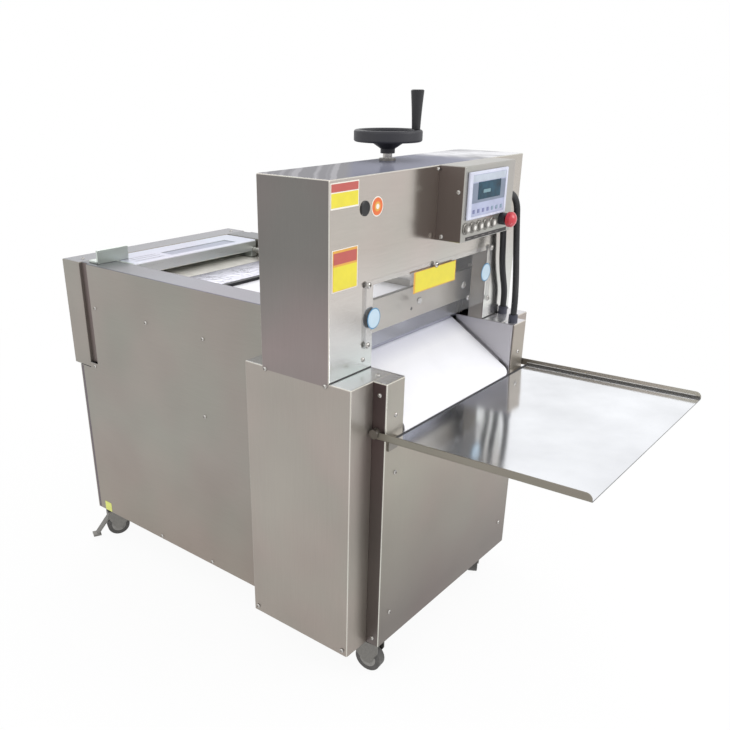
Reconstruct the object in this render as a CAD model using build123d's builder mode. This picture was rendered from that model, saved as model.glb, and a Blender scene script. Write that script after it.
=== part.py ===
from build123d import *
import math
import os

os.makedirs("parts", exist_ok=True)

# Frozen meat slicer on four casters, front face toward -Y, millimetres, +Z up.
# The origin is on the floor under the middle of the whole machine.

# Levels, measured up from the floor
caster_height = 91
casing_height = 629
head_height = 377
rim_rise = 104
window_rise = 169
rear_window_rise = 155

# Plan sizes of the shells
head_width = 730
head_depth = 177
head_front = -223
casing_front_step = 53.5
casing_rear_step = 50
cabinet_side_step = 72
cabinet_step = 33.1
body_side_step = 63
body_length = 705
conveyor_box_width = 65

# Sheet metal and common clearances
sheet_thickness = 3
seam_gap = 0.2
running_gap = 0.3
fit_gap = 0.05
overrun_length = 1

# Rear cap and the recess in front of it
cap_depth = 72
cap_overhang = 25
cap_height = 285
recess_length = 33
recess_height = 270
recess_inset = 9
cap_screw_inset = 33

# Base frame
deck_thickness = 6
post_size = 40
post_wall = 3
caster_plate = 64
caster_plate_thickness = 3

# Feed trough
wall_thickness = 3
board_side_gap = 3
board_thickness = 25
board_lead = 78
board_length = 492
floor_rise = 47
trough_floor_gap = 4
beam_depth = 30
front_beam_height = 45
rear_beam_height = 30
rear_beam_inset = 17
last_beam_gap = 7

# Knife, its carrier and the guide columns
knife_plane_depth = 70
carrier_side_gap = 65
carrier_thickness = 12
carrier_base_height = 41
carrier_top_height = 112
blade_side_gap = 3
blade_thickness = 6
blade_reach = 46
blade_lap = 29
blade_bevel = 3
column_inset = 40
column_setback = 64
column_diameter = 25
column_foot_depth = 90
column_top_height = 365
clamp_size = 60
clamp_height = 30
low_clamp_drop = 50
high_clamp_rise = 330
crosshead_width = 52
crosshead_depth = 50
crosshead_gap = 0.15

# Crank drive
crank_setback = 95
crank_drop = 229
crank_radius = 75
crank_disc_radius = 100
crank_disc_thickness = 12
crank_disc_gap = 7
crank_shaft_diameter = 40
crank_pin_diameter = 36
crank_pin_stub = 6.5
rod_column_gap = 69
rod_thickness = 12
rod_length = 380
rod_width = 30
rod_small_radius = 20
rod_big_radius = 35
wrist_diameter = 20
lug_thickness = 9.5
lug_gap = 0.5
lug_radius = 20
drive_beam_gap = 31
drive_beam_height = 20
drive_beam_depth = 120
bearing_disc_gap = 47
bearing_width = 40
bearing_depth = 70
bearing_rise = 50
gearbox_width = 120
gearbox_depth = 120
gearbox_rise = 70
motor_radius = 70
motor_length = 258

# Presser over the meat
presser_side_gap = 13
presser_front = 82
presser_depth = 90
presser_rise = 142
presser_thickness = 20
presser_boss_diameter = 44
presser_boss_height = 63
presser_screw_setback = 137
presser_screw_diameter = 20
presser_screw_start_gap = 2
guide_pin_diameter = 12
guide_pin_spacing = 240
guide_pin_top_height = 340
bridge_depth = 50
bridge_base_height = 265
bridge_height = 25
thrust_collar_diameter = 36
thrust_collar_height = 12
stem_collar_diameter = 36
stem_collar_height = 4.5
stem_hole_gap = 2

# Handwheel
wheel_diameter = 146
wheel_rim_base_height = 38
wheel_rim_height = 24
wheel_rim_width = 14
hub_diameter = 31
hub_base_height = 14.5
hub_collar_height = 9
hub_height = 34
dish_radius = 42
web_thickness = 6
handle_radius_place = 58.5
handle_direction = (0.633, -0.774)
handle_height = 77.5
handle_edge = 2
handle_top_diameter = 28
handle_middle_diameter = 22
handle_low_diameter = 18
handle_pin_diameter = 8
handle_pin_depth = 58

# Pusher and its feed
pusher_side_gap = 6
pusher_rear_gap = 4
pusher_depth = 124
pusher_height = 32
pusher_lug_width = 20
pusher_lug_height = 48
feed_side_gap = 16
feed_drop = 29
feed_rod_diameter = 16
feed_block_depth = 20
feed_block_height = 40
feed_block_width = 25.6
feed_motor_diameter = 50
feed_motor_length = 60
feed_motor_bore_depth = 26
feed_screw_hole_gap = 0.5
corner_cover_width = 96
corner_cover_height = 34
corner_cover_inset = 16
corner_cover_setback = 64
corner_foot_width = 52
corner_foot_depth = 40

# Conveyor
belt_side_gap = 8
belt_thickness = 2
roller_radius = 15
roller_side_gap = 6
roller_axle_diameter = 12
upper_roller_setback = 89
upper_roller_drop = 21.4
lower_roller_advance = 67
lower_roller_drop = 118.4
side_wall_thickness = 4
side_wall_setback = 73
side_wall_drop = 160
bed_thickness = 6
bed_inset = 22
front_panel_drop = 145

# Slice tray
tray_pivot_advance = 66
tray_pivot_drop = 106
tray_side_step = 8
tray_flange = 3
tray_floor = 2
tray_length = 445
tray_floor_start = 30
tray_above_pivot = 4.5
tray_height = 16
tray_tilt = 1.8
tray_corner = 12
tray_lug_radius = 9
tray_stud_diameter = 8
tray_stud_head_diameter = 20
tray_stud_head = 5
bracket_width = 30
bracket_reach = 22
bracket_height = 26
bracket_thickness = 4
bracket_inset = 8

# Control box, display and switches
box_inset = 156.3
box_width = 216.4
box_depth = 60.6
box_height = 152.7
box_wall = 2
display_inset = 12.7
display_width = 163
display_height = 96
display_drop = 12
display_bezel = 6
display_rim = 7
display_body_depth = 28
button_inset = 15.7
button_pitch = 28
button_count = 5
button_drop = 125
button_diameter = 16
button_length = 18
button_proud = 8.4
collar_diameter = 24
collar_height = 3.4
barrel_diameter = 20
barrel_depth = 28
barrel_floor = 3
stop_inset = 168.7
stop_drop = 121.5
stop_collar_diameter = 26
stop_collar_height = 14.4
stop_stem_diameter = 12
stop_head_diameter = 32.7
stop_head_thickness = 18
stop_travel = 4.5
stop_head_gap = 5
stop_barrel_depth = 34

# Clear guard over the knife window
guard_left_lap = 29
guard_right_lap = 15
guard_base_height = 45
guard_box_gap = 44.3
guard_thickness = 5

# Hoses from the control box down to the ledge and the conveyor box
hose_diameter = 15
gland_diameter = 22
side_gland_length = 8.3
ledge_gland_length = 18
# Route points: in from the head's right side, out from its front, up from the ledge
rear_hose_route = [
    (148, 13, 257),
    (127, 13, 257),
    (108, 13, 247.5),
    (95, 13, 230),
    (89, 13, 188),
    (82, 13, 125),
    (56, 13, 56),
    (56, 13, 18),
]
front_hose_route = [
    (148, 39, 300),
    (122.6, 39, 300),
    (100.2, 39, 288),
    (86, 39.5, 267),
    (82, 41, 225),
    (85, 48, 165),
    (95, 59, 105),
    (111, 70, 55),
    (111, 70, 18),
]
inlet_inset = 102
inlet_rise = 70
inlet_bore = 10
inlet_length = 16
inlet_tail = 12

# Casters
front_caster_inset = 93
front_caster_setback = 42.5
rear_caster_inset = 66.4
rear_caster_advance = 53
front_left_trail_angle = 275
front_right_trail_angle = 210
rear_trail_angle = 155
caster_trail = 38
caster_wheel_radius = 32.5
caster_wheel_width = 24
caster_axle_diameter = 8
fork_gap = 1.5
fork_leg_thickness = 2.5
crown_base_height = 78
crown_thickness = 3
crown_back = 16
crown_front = 66
fork_head_radius = 20
fork_axle_margin = 8.5
pedal_pin_reach = 60
pedal_pin_height = 66
pedal_pin_diameter = 6
pedal_lug_radius = 7
pedal_width = 24
pedal_arm_thickness = 4
pedal_pad_reach = 43
pedal_pad_length = 22
pedal_pad_base_height = 8
pedal_pad_thickness = 6

# Screw heads
screw_radius = 5
screw_height = 3
screw_margin = 9
screw_wide_margin = 13
bolt_radius = 6.5
bolt_height = 4
bolt_margin = 7

# Levels and faces worked out from the sizes above
ledge = caster_height + casing_height
head_low = ledge + seam_gap
head_top = ledge + head_height
rim = ledge + rim_rise
head_half = head_width / 2
head_inner = head_half - sheet_thickness - seam_gap
head_rear = head_front + head_depth
casing_front = head_front - casing_front_step
casing_rear = head_rear + casing_rear_step
cabinet_half = head_half - cabinet_side_step
cabinet_face = casing_front - cabinet_step
body_half = head_half - body_side_step
body_inner = body_half - sheet_thickness - seam_gap
body_rear = casing_rear + body_length
cap_rear = body_rear + cap_overhang
cap_front = cap_rear - cap_depth
cap_low = rim - cap_height
recess_front = cap_front - recess_length
recess_low = rim - recess_height
mouth_half = cabinet_half - conveyor_box_width
deck_top = caster_height + deck_thickness
floor_level = ledge + floor_rise
board_low = floor_level - board_thickness
knife_back = head_front + knife_plane_depth
board_front = head_front + board_lead
crank_axis_y = head_front + crank_setback
crank_axis_z = ledge - crank_drop
wrist_z = crank_axis_z - crank_radius + rod_length
drive_beam_top = crank_axis_z - crank_disc_radius - drive_beam_gap
screw_axis_y = head_front + presser_screw_setback
presser_low = ledge + presser_rise
presser_top = presser_low + presser_thickness
feed_z = rim - feed_drop
wall_outer = mouth_half + wall_thickness
side_outer = mouth_half + side_wall_thickness
pivot_y = head_front - tray_pivot_advance
pivot_z = ledge - tray_pivot_drop
board_half = mouth_half - board_side_gap
blade_half = mouth_half - blade_side_gap
presser_half = mouth_half - presser_side_gap
pusher_half = mouth_half - pusher_side_gap
belt_half = mouth_half - belt_side_gap
roller_half = mouth_half - roller_side_gap
feed_x = mouth_half - feed_side_gap
column_x = head_half - column_inset
column_centre_y = head_front + column_setback
rod_x = column_x - rod_column_gap
crank_disc_x = rod_x - crank_disc_gap - crank_disc_thickness
bearing_x = crank_disc_x - bearing_disc_gap - bearing_width
guide_pin_x = guide_pin_spacing / 2

turn = {"x": (0, 90, 0), "y": (90, 0, 0), "z": (0, 0, 0)}


def slab(x, y, z, mode=Mode.ADD):
    """A box between pairs of limits, in the part being built."""
    middle = (sum(x) / 2, sum(y) / 2, sum(z) / 2)
    with Locations(middle):
        Box(abs(x[1] - x[0]), abs(y[1] - y[0]), abs(z[1] - z[0]), mode=mode)


def slab_pair(x, y, z, mode=Mode.ADD):
    """The same box on the left and on the right of the machine."""
    slab(x, y, z, mode)
    slab((-x[1], -x[0]), y, z, mode)


def rod(axis, centre, radius, length, mode=Mode.ADD):
    """A round bar centred on a point, lying along one axis."""
    with Locations(Location(centre, turn[axis])):
        Cylinder(radius, length, mode=mode)


def rod_between(axis, centre, radius, span, mode=Mode.ADD):
    """A round bar between two limits along one axis."""
    place = list(centre)
    place["xyz".index(axis)] = sum(span) / 2
    rod(axis, tuple(place), radius, abs(span[1] - span[0]), mode)


# Base frame: two deck plates with caster pads, and square tube posts
front_deck = (casing_front + sheet_thickness + seam_gap, casing_rear - sheet_thickness - seam_gap)
rear_deck = (casing_rear - sheet_thickness, body_rear - sheet_thickness - seam_gap)
front_caster = (head_half - front_caster_inset, casing_front + front_caster_setback)
rear_caster = (body_half - rear_caster_inset, body_rear - rear_caster_advance)
with BuildPart() as base_frame:
    slab((-head_inner, head_inner), front_deck, (caster_height, deck_top))
    slab((-body_inner, body_inner), rear_deck, (caster_height, deck_top))
    for place in (front_caster, rear_caster):
        slab_pair(
            (place[0] - caster_plate / 2, place[0] + caster_plate / 2),
            (place[1] - caster_plate / 2, place[1] + caster_plate / 2),
            (caster_height - caster_plate_thickness, caster_height),
        )
    casing_post_x = (head_inner - post_size, head_inner)
    casing_posts = (
        (front_deck[0], front_deck[0] + post_size),
        (front_deck[1] - post_size, front_deck[1]),
    )
    post_top = ledge - sheet_thickness - seam_gap
    for y_span in casing_posts:
        slab_pair(casing_post_x, y_span, (deck_top + seam_gap, post_top))
        slab_pair(
            (casing_post_x[0] + post_wall, casing_post_x[1] - post_wall),
            (y_span[0] + post_wall, y_span[1] - post_wall),
            (deck_top + seam_gap, post_top),
            Mode.SUBTRACT,
        )
    body_post_x = (body_inner - post_size, body_inner)
    body_post_y = (rear_deck[1] - post_size, rear_deck[1])
    body_post_z = (deck_top + seam_gap, cap_low - seam_gap)
    slab_pair(body_post_x, body_post_y, body_post_z)
    slab_pair(
        (body_post_x[0] + post_wall, body_post_x[1] - post_wall),
        (body_post_y[0] + post_wall, body_post_y[1] - post_wall),
        body_post_z,
        Mode.SUBTRACT,
    )
base_frame.part.label = "base_frame"
export_step(base_frame.part, "parts/base_frame.step")

# Lower casing: sides, front and back returns, front and rear ledges
with BuildPart() as casing_panels:
    slab_pair(
        (head_half - sheet_thickness, head_half),
        (casing_front, casing_rear),
        (caster_height, ledge),
    )
    return_z = (caster_height, ledge - sheet_thickness - seam_gap)
    slab_pair(
        (cabinet_half + seam_gap, head_inner),
        (casing_front, casing_front + sheet_thickness),
        return_z,
    )
    slab_pair(
        (body_half + seam_gap, head_inner),
        (casing_rear - sheet_thickness, casing_rear),
        return_z,
    )
    slab_pair(
        (side_outer + seam_gap, head_inner),
        (casing_front, head_front),
        (ledge - sheet_thickness, ledge),
    )
    slab_pair(
        (body_half + seam_gap, head_inner),
        (head_rear, casing_rear),
        (ledge - sheet_thickness, ledge),
    )
casing_panels.part.label = "casing_panels"
export_step(casing_panels.part, "parts/casing_panels.step")

# Head front panel with the knife window open at its lower edge
panel_z = (head_low, head_top - sheet_thickness - seam_gap)
with BuildPart() as head_front_panel:
    slab((-head_inner, head_inner), (head_front, head_front + sheet_thickness), panel_z)
    slab(
        (-mouth_half, mouth_half),
        (head_front - overrun_length, head_front + sheet_thickness + overrun_length),
        (head_low - overrun_length, ledge + window_rise),
        Mode.SUBTRACT,
    )
head_front_panel.part.label = "head_front_panel"
export_step(head_front_panel.part, "parts/head_front_panel.step")

# Head rear cover with the opening that the meat passes through
with BuildPart() as head_rear_cover:
    slab((-head_inner, head_inner), (head_rear - sheet_thickness, head_rear), panel_z)
    slab(
        (-wall_outer - seam_gap, wall_outer + seam_gap),
        (head_rear - sheet_thickness - overrun_length, head_rear + overrun_length),
        (head_low - overrun_length, ledge + rear_window_rise),
        Mode.SUBTRACT,
    )
head_rear_cover.part.label = "head_rear_cover"
export_step(head_rear_cover.part, "parts/head_rear_cover.step")

# Head sides and top cover
with BuildPart() as head_covers:
    slab_pair((head_half - sheet_thickness, head_half), (head_front, head_rear), (head_low, head_top))
    slab((-head_inner, head_inner), (head_front, head_rear), (head_top - sheet_thickness, head_top))
    rod(
        "z",
        (0, screw_axis_y, head_top),
        presser_screw_diameter / 2 + stem_hole_gap,
        4 * sheet_thickness,
        Mode.SUBTRACT,
    )
head_covers.part.label = "head_covers"
export_step(head_covers.part, "parts/head_covers.step")

# Front cabinet: lower front panel and its two side strips
panel_top = ledge - front_panel_drop
with BuildPart() as cabinet_front:
    slab(
        (-cabinet_half, cabinet_half),
        (cabinet_face, cabinet_face + sheet_thickness),
        (caster_height, panel_top),
    )
    slab_pair(
        (cabinet_half - sheet_thickness, cabinet_half),
        (cabinet_face + sheet_thickness + seam_gap, casing_front - seam_gap),
        (caster_height, ledge - sheet_thickness - seam_gap),
    )
cabinet_front.part.label = "cabinet_front"
export_step(cabinet_front.part, "parts/cabinet_front.step")

# Conveyor boxes: fronts, tops, the inner walls that carry the rollers, and the bed
upper_centre = (head_front + upper_roller_setback, ledge - upper_roller_drop)
lower_centre = (head_front - lower_roller_advance, ledge - lower_roller_drop)
belt_run = (upper_centre[0] - lower_centre[0], upper_centre[1] - lower_centre[1])
belt_length = math.hypot(*belt_run)
belt_plane = Plane(
    origin=(0, lower_centre[0], lower_centre[1]),
    x_dir=(0, belt_run[0], belt_run[1]),
    z_dir=(1, 0, 0),
)
bed_side = mouth_half - seam_gap
with BuildPart() as conveyor_boxes:
    slab_pair(
        (side_outer + seam_gap, cabinet_half),
        (cabinet_face, cabinet_face + sheet_thickness),
        (panel_top + seam_gap, ledge - sheet_thickness - seam_gap),
    )
    slab_pair(
        (side_outer + seam_gap, cabinet_half),
        (cabinet_face, casing_front - seam_gap),
        (ledge - sheet_thickness, ledge),
    )
    slab_pair(
        (mouth_half, side_outer),
        (cabinet_face + sheet_thickness + seam_gap, head_front + side_wall_setback),
        (ledge - side_wall_drop, ledge),
    )
    for centre in (upper_centre, lower_centre):
        rod(
            "x",
            (0, centre[0], centre[1]),
            roller_axle_diameter / 2 + running_gap,
            3 * side_outer,
            Mode.SUBTRACT,
        )
    with BuildSketch(belt_plane.offset(-bed_side)):
        with Locations((belt_length / 2, roller_radius - bed_thickness / 2 - running_gap)):
            Rectangle(belt_length - 2 * bed_inset, bed_thickness)
    extrude(amount=2 * bed_side)
conveyor_boxes.part.label = "conveyor_boxes"
export_step(conveyor_boxes.part, "parts/conveyor_boxes.step")

# Conveyor belt, an endless band round both rollers
belt_inner = roller_radius + running_gap
belt_outer = belt_inner + belt_thickness
with BuildPart() as conveyor_belt:
    with BuildSketch(belt_plane.offset(-belt_half)):
        with Locations((belt_length / 2, 0)):
            SlotCenterToCenter(belt_length, 2 * belt_outer)
            SlotCenterToCenter(belt_length, 2 * belt_inner, mode=Mode.SUBTRACT)
    extrude(amount=2 * belt_half)
conveyor_belt.part.label = "conveyor_belt"
export_step(conveyor_belt.part, "parts/conveyor_belt.step")

# Conveyor rollers with their axle ends
for name, centre in (("drive_roller", upper_centre), ("idler_roller", lower_centre)):
    middle = (0, centre[0], centre[1])
    with BuildPart() as roller:
        rod("x", middle, roller_radius, 2 * roller_half)
        rod("x", middle, roller_axle_diameter / 2, 2 * (side_outer - seam_gap))
    roller.part.label = name
    export_step(roller.part, f"parts/{name}.step")

# Rear body: outer sides, rims, trough walls and the jamb walls of the window
side_rear = body_rear - sheet_thickness - seam_gap
with BuildPart() as body_panels:
    for side in (-body_half, body_half - sheet_thickness):
        with BuildSketch(Plane.YZ.offset(side)):
            Polygon(
                (head_rear + seam_gap, rim - sheet_thickness - seam_gap),
                (head_rear + seam_gap, ledge + seam_gap),
                (casing_rear + seam_gap, ledge + seam_gap),
                (casing_rear + seam_gap, caster_height),
                (side_rear, caster_height),
                (side_rear, cap_low - seam_gap),
                (cap_front - seam_gap, cap_low - seam_gap),
                (cap_front - seam_gap, recess_low),
                (recess_front, recess_low),
                (recess_front, rim - sheet_thickness - seam_gap),
                align=None,
            )
        extrude(amount=sheet_thickness)
    slab_pair(
        (wall_outer + seam_gap, body_half),
        (head_rear + seam_gap, recess_front),
        (rim - sheet_thickness, rim),
    )
    slab_pair(
        (wall_outer + seam_gap, body_half - recess_inset),
        (recess_front, cap_front - seam_gap),
        (rim - sheet_thickness, rim),
    )
    slab_pair(
        (body_half - recess_inset - sheet_thickness, body_half - recess_inset),
        (recess_front + seam_gap, cap_front - seam_gap),
        (recess_low, rim - sheet_thickness - seam_gap),
    )
    slab_pair(
        (mouth_half, wall_outer),
        (board_front, cap_front - seam_gap),
        (board_low, rim),
    )
    slab_pair(
        (mouth_half, wall_outer),
        (head_front + sheet_thickness + seam_gap, column_centre_y - crosshead_depth / 2),
        (head_low, ledge + window_rise),
    )
body_panels.part.label = "body_panels"
export_step(body_panels.part, "parts/body_panels.step")

# Rear panel of the body
with BuildPart() as rear_panel:
    slab(
        (-body_half, body_half),
        (body_rear - sheet_thickness, body_rear),
        (caster_height, cap_low - seam_gap),
    )
    rod(
        "y",
        (body_half - inlet_inset, body_rear, caster_height + inlet_rise),
        gland_diameter / 2 - sheet_thickness,
        4 * sheet_thickness,
        Mode.SUBTRACT,
    )
rear_panel.part.label = "rear_panel"
export_step(rear_panel.part, "parts/rear_panel.step")

# Rear cap, a closed sheet box over the feed motor
with BuildPart() as rear_cap:
    slab((-body_half, body_half), (cap_front, cap_rear), (cap_low, rim))
    slab(
        (-body_half + sheet_thickness, body_half - sheet_thickness),
        (cap_front + sheet_thickness, cap_rear - sheet_thickness),
        (cap_low + sheet_thickness, rim - sheet_thickness),
        Mode.SUBTRACT,
    )
    rod(
        "y",
        (feed_x, cap_front, feed_z),
        feed_rod_diameter / 2 + feed_screw_hole_gap,
        4 * sheet_thickness,
        Mode.SUBTRACT,
    )
rear_cap.part.label = "rear_cap"
export_step(rear_cap.part, "parts/rear_cap.step")

# Upright cover at the rear left corner, bent from sheet, with a foot on the rim
with BuildPart() as corner_cover:
    cover_left = -body_half + corner_cover_inset
    cover_front = cap_front - corner_cover_setback
    cover_low = rim + running_gap
    slab(
        (cover_left, cover_left + corner_cover_width),
        (cover_front, cover_front + 2 * sheet_thickness),
        (cover_low, cover_low + corner_cover_height),
    )
    slab(
        (cover_left, cover_left + corner_foot_width),
        (cover_front, cover_front + corner_foot_depth),
        (cover_low, cover_low + 2 * sheet_thickness),
    )
corner_cover.part.label = "corner_cover"
export_step(corner_cover.part, "parts/corner_cover.step")

# Beams: drive beam across the casing and the beams under the trough
front_beam_rear = head_rear - sheet_thickness - seam_gap
front_beam = (front_beam_rear - beam_depth, front_beam_rear)
with BuildPart() as cross_beams:
    slab(
        (-head_inner, head_inner),
        (crank_axis_y - drive_beam_depth / 2, crank_axis_y + drive_beam_depth / 2),
        (drive_beam_top - drive_beam_height, drive_beam_top),
    )
    slab(
        (-head_inner, head_inner),
        front_beam,
        (board_low - seam_gap - front_beam_height, board_low - seam_gap),
    )
    board_rear = board_front + board_length
    for beam_rear in (board_rear - rear_beam_inset, recess_front - last_beam_gap):
        slab(
            (-body_inner, body_inner),
            (beam_rear - beam_depth, beam_rear),
            (board_low - seam_gap - rear_beam_height, board_low - seam_gap),
        )
cross_beams.part.label = "cross_beams"
export_step(cross_beams.part, "parts/cross_beams.step")

# Cutting board that the meat slides on, its front edge just behind the knife
with BuildPart() as cutting_board:
    slab((-board_half, board_half), (board_front, board_rear), (board_low, floor_level))
cutting_board.part.label = "cutting_board"
export_step(cutting_board.part, "parts/cutting_board.step")

# Trough floor behind the board, a sheet with turned-down flanges
floor_span = (board_rear + trough_floor_gap, cap_front - seam_gap)
floor_half = mouth_half - seam_gap
with BuildPart() as trough_floor:
    slab((-floor_half, floor_half), floor_span, (floor_level - sheet_thickness, floor_level))
    slab_pair((floor_half - sheet_thickness, floor_half), floor_span, (board_low, floor_level))
trough_floor.part.label = "trough_floor"
export_step(trough_floor.part, "parts/trough_floor.step")

# Guide columns and the clamps that hold them to the head sides
low_clamp = (ledge - low_clamp_drop - clamp_height, ledge - low_clamp_drop)
high_clamp = (ledge + high_clamp_rise, ledge + high_clamp_rise + clamp_height)
with BuildPart() as guide_columns:
    for z_span in (low_clamp, high_clamp):
        slab_pair(
            (head_inner - clamp_size, head_inner),
            (column_centre_y - clamp_size / 2, column_centre_y + clamp_size / 2),
            z_span,
        )
    for x in (-column_x, column_x):
        centre = (x, column_centre_y, ledge)
        column_span = (ledge - column_foot_depth, ledge + column_top_height)
        bore = column_diameter / 2 + fit_gap
        rod_between("z", centre, bore, column_span, Mode.SUBTRACT)
        rod_between("z", centre, column_diameter / 2, column_span)
guide_columns.part.label = "guide_columns"
export_step(guide_columns.part, "parts/guide_columns.step")

# Knife carrier: a plate between two bored crossheads, with lugs for the rods
carrier_z = (ledge + carrier_base_height, ledge + carrier_top_height)
carrier_front = knife_back - carrier_thickness
with BuildPart() as knife_carrier:
    carrier_half = head_half - carrier_side_gap
    crosshead_inner = min(column_x - crosshead_width / 2, carrier_half)
    slab((-carrier_half, carrier_half), (carrier_front, knife_back), carrier_z)
    slab_pair(
        (crosshead_inner, column_x + crosshead_width / 2),
        (column_centre_y - crosshead_depth / 2, column_centre_y + crosshead_depth / 2),
        carrier_z,
    )
    inner_lug = (rod_x - lug_gap - lug_thickness, rod_x - lug_gap)
    outer_lug = (rod_x + rod_thickness + lug_gap, rod_x + rod_thickness + lug_gap + lug_thickness)
    for span in (inner_lug, outer_lug):
        slab_pair(span, (knife_back, crank_axis_y), (wrist_z - lug_radius, wrist_z + lug_radius))
        for side in (-1, 1):
            centre = (0, crank_axis_y, wrist_z)
            rod_between("x", centre, lug_radius, (side * span[0], side * span[1]))
    for side in (-1, 1):
        centre = (0, crank_axis_y, wrist_z)
        wrist_span = (side * inner_lug[0], side * outer_lug[1])
        rod_between("x", centre, wrist_diameter / 2, wrist_span)
        column_bore = column_diameter / 2 + crosshead_gap
        rod_between(
            "z",
            (side * column_x, column_centre_y, ledge),
            column_bore,
            (carrier_z[0] - overrun_length, carrier_z[1] + overrun_length),
            Mode.SUBTRACT,
        )
knife_carrier.part.label = "knife_carrier"
export_step(knife_carrier.part, "parts/knife_carrier.step")

# Knife blade, ground to an edge on its front face
blade_low = carrier_z[0] - blade_reach
with BuildPart() as knife_blade:
    with BuildSketch(Plane.YZ.offset(-blade_half)):
        Polygon(
            (knife_back, carrier_z[0] + blade_lap),
            (knife_back, blade_low + 3 * blade_bevel),
            (knife_back + blade_thickness - blade_bevel / 3, blade_low),
            (knife_back + blade_thickness, blade_low),
            (knife_back + blade_thickness, carrier_z[0] + blade_lap),
            align=None,
        )
    extrude(amount=2 * blade_half)
knife_blade.part.label = "knife_blade"
export_step(knife_blade.part, "parts/knife_blade.step")

# Crankshaft with its two discs and short crank pins, at the bottom of the stroke
crank_centre = (0, crank_axis_y, crank_axis_z)
pin_centre = (0, crank_axis_y, crank_axis_z - crank_radius)
with BuildPart() as crankshaft:
    rod("x", crank_centre, crank_shaft_diameter / 2, 2 * (crank_disc_x + crank_disc_thickness))
    for side in (-1, 1):
        disc_span = (side * crank_disc_x, side * (crank_disc_x + crank_disc_thickness))
        rod_between("x", crank_centre, crank_disc_radius, disc_span)
        pin_span = (disc_span[1], disc_span[1] + side * crank_pin_stub)
        rod_between("x", pin_centre, crank_pin_diameter / 2, pin_span)
crankshaft.part.label = "crankshaft"
export_step(crankshaft.part, "parts/crankshaft.step")

# Connecting rods from the crank pins up to the wrist pins
for name, side in (("connecting_rod_left", -1), ("connecting_rod_right", 1)):
    x_span = (side * rod_x, side * (rod_x + rod_thickness))
    with BuildPart() as connecting_rod:
        rod_between("x", (0, crank_axis_y, wrist_z), rod_small_radius, x_span)
        rod_between("x", pin_centre, rod_big_radius, x_span)
        slab(
            x_span,
            (crank_axis_y - rod_width / 2, crank_axis_y + rod_width / 2),
            (crank_axis_z - crank_radius, wrist_z),
        )
        wrist_bore = wrist_diameter / 2 + running_gap
        rod("x", (0, crank_axis_y, wrist_z), wrist_bore, head_width, Mode.SUBTRACT)
        big_bore = crank_pin_diameter / 2 + running_gap
        rod("x", pin_centre, big_bore, head_width, Mode.SUBTRACT)
    connecting_rod.part.label = name
    export_step(connecting_rod.part, f"parts/{name}.step")

# Gear motor standing on the drive beam, its hollow shaft round the crankshaft
shaft_bore = crank_shaft_diameter / 2 + running_gap
with BuildPart() as gear_motor:
    slab(
        (-gearbox_width / 2, gearbox_width / 2),
        (crank_axis_y - gearbox_depth / 2, crank_axis_y + gearbox_depth / 2),
        (drive_beam_top + seam_gap, crank_axis_z + gearbox_rise),
    )
    motor_start = crank_axis_y + gearbox_depth / 2
    motor_z = crank_axis_z + gearbox_rise - motor_radius
    rod_between(
        "y", (0, 0, motor_z), motor_radius, (motor_start, motor_start + motor_length)
    )
    rod("x", crank_centre, shaft_bore, 2 * gearbox_width, Mode.SUBTRACT)
gear_motor.part.label = "gear_motor"
export_step(gear_motor.part, "parts/gear_motor.step")

# Bearing blocks of the crankshaft
with BuildPart() as crank_bearings:
    slab_pair(
        (bearing_x, bearing_x + bearing_width),
        (crank_axis_y - bearing_depth / 2, crank_axis_y + bearing_depth / 2),
        (drive_beam_top + seam_gap, crank_axis_z + bearing_rise),
    )
    rod("x", crank_centre, shaft_bore, head_width, Mode.SUBTRACT)
crank_bearings.part.label = "crank_bearings"
export_step(crank_bearings.part, "parts/crank_bearings.step")

# Bridge that carries the presser screw, and the collar on the head top
bridge_z = (ledge + bridge_base_height, ledge + bridge_base_height + bridge_height)
bridge_y = (screw_axis_y - bridge_depth / 2, screw_axis_y + bridge_depth / 2)
screw_bore = presser_screw_diameter / 2 + running_gap
with BuildPart() as presser_bridge:
    slab((-head_inner, head_inner), bridge_y, bridge_z)
    collar_z = (head_top, head_top + stem_collar_height)
    rod_between("z", (0, screw_axis_y, 0), stem_collar_diameter / 2, collar_z)
    rod_between(
        "z",
        (0, screw_axis_y, 0),
        screw_bore,
        (bridge_z[0] - overrun_length, collar_z[1] + overrun_length),
        Mode.SUBTRACT,
    )
    for x in (-guide_pin_x, guide_pin_x):
        rod_between(
            "z",
            (x, screw_axis_y, 0),
            guide_pin_diameter / 2 + running_gap,
            (bridge_z[0] - overrun_length, bridge_z[1] + overrun_length),
            Mode.SUBTRACT,
        )
presser_bridge.part.label = "presser_bridge"
export_step(presser_bridge.part, "parts/presser_bridge.step")

# Presser plate with its nut boss and two guide pins
presser_y = (head_front + presser_front, head_front + presser_front + presser_depth)
boss_top = presser_top + presser_boss_height
screw_start = presser_top + presser_screw_start_gap
with BuildPart() as presser_plate:
    slab((-presser_half, presser_half), presser_y, (presser_low, presser_top))
    fillet(presser_plate.edges().filter_by(Axis.X).group_by(Axis.Z)[0], presser_thickness / 4)
    rod_between("z", (0, screw_axis_y, 0), presser_boss_diameter / 2, (presser_top, boss_top))
    rod_between(
        "z",
        (0, screw_axis_y, 0),
        screw_bore,
        (screw_start - overrun_length, boss_top + overrun_length),
        Mode.SUBTRACT,
    )
    for x in (-guide_pin_x, guide_pin_x):
        pin_span = (presser_top, ledge + guide_pin_top_height)
        rod_between("z", (x, screw_axis_y, 0), guide_pin_diameter / 2, pin_span)
presser_plate.part.label = "presser_plate"
export_step(presser_plate.part, "parts/presser_plate.step")

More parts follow.
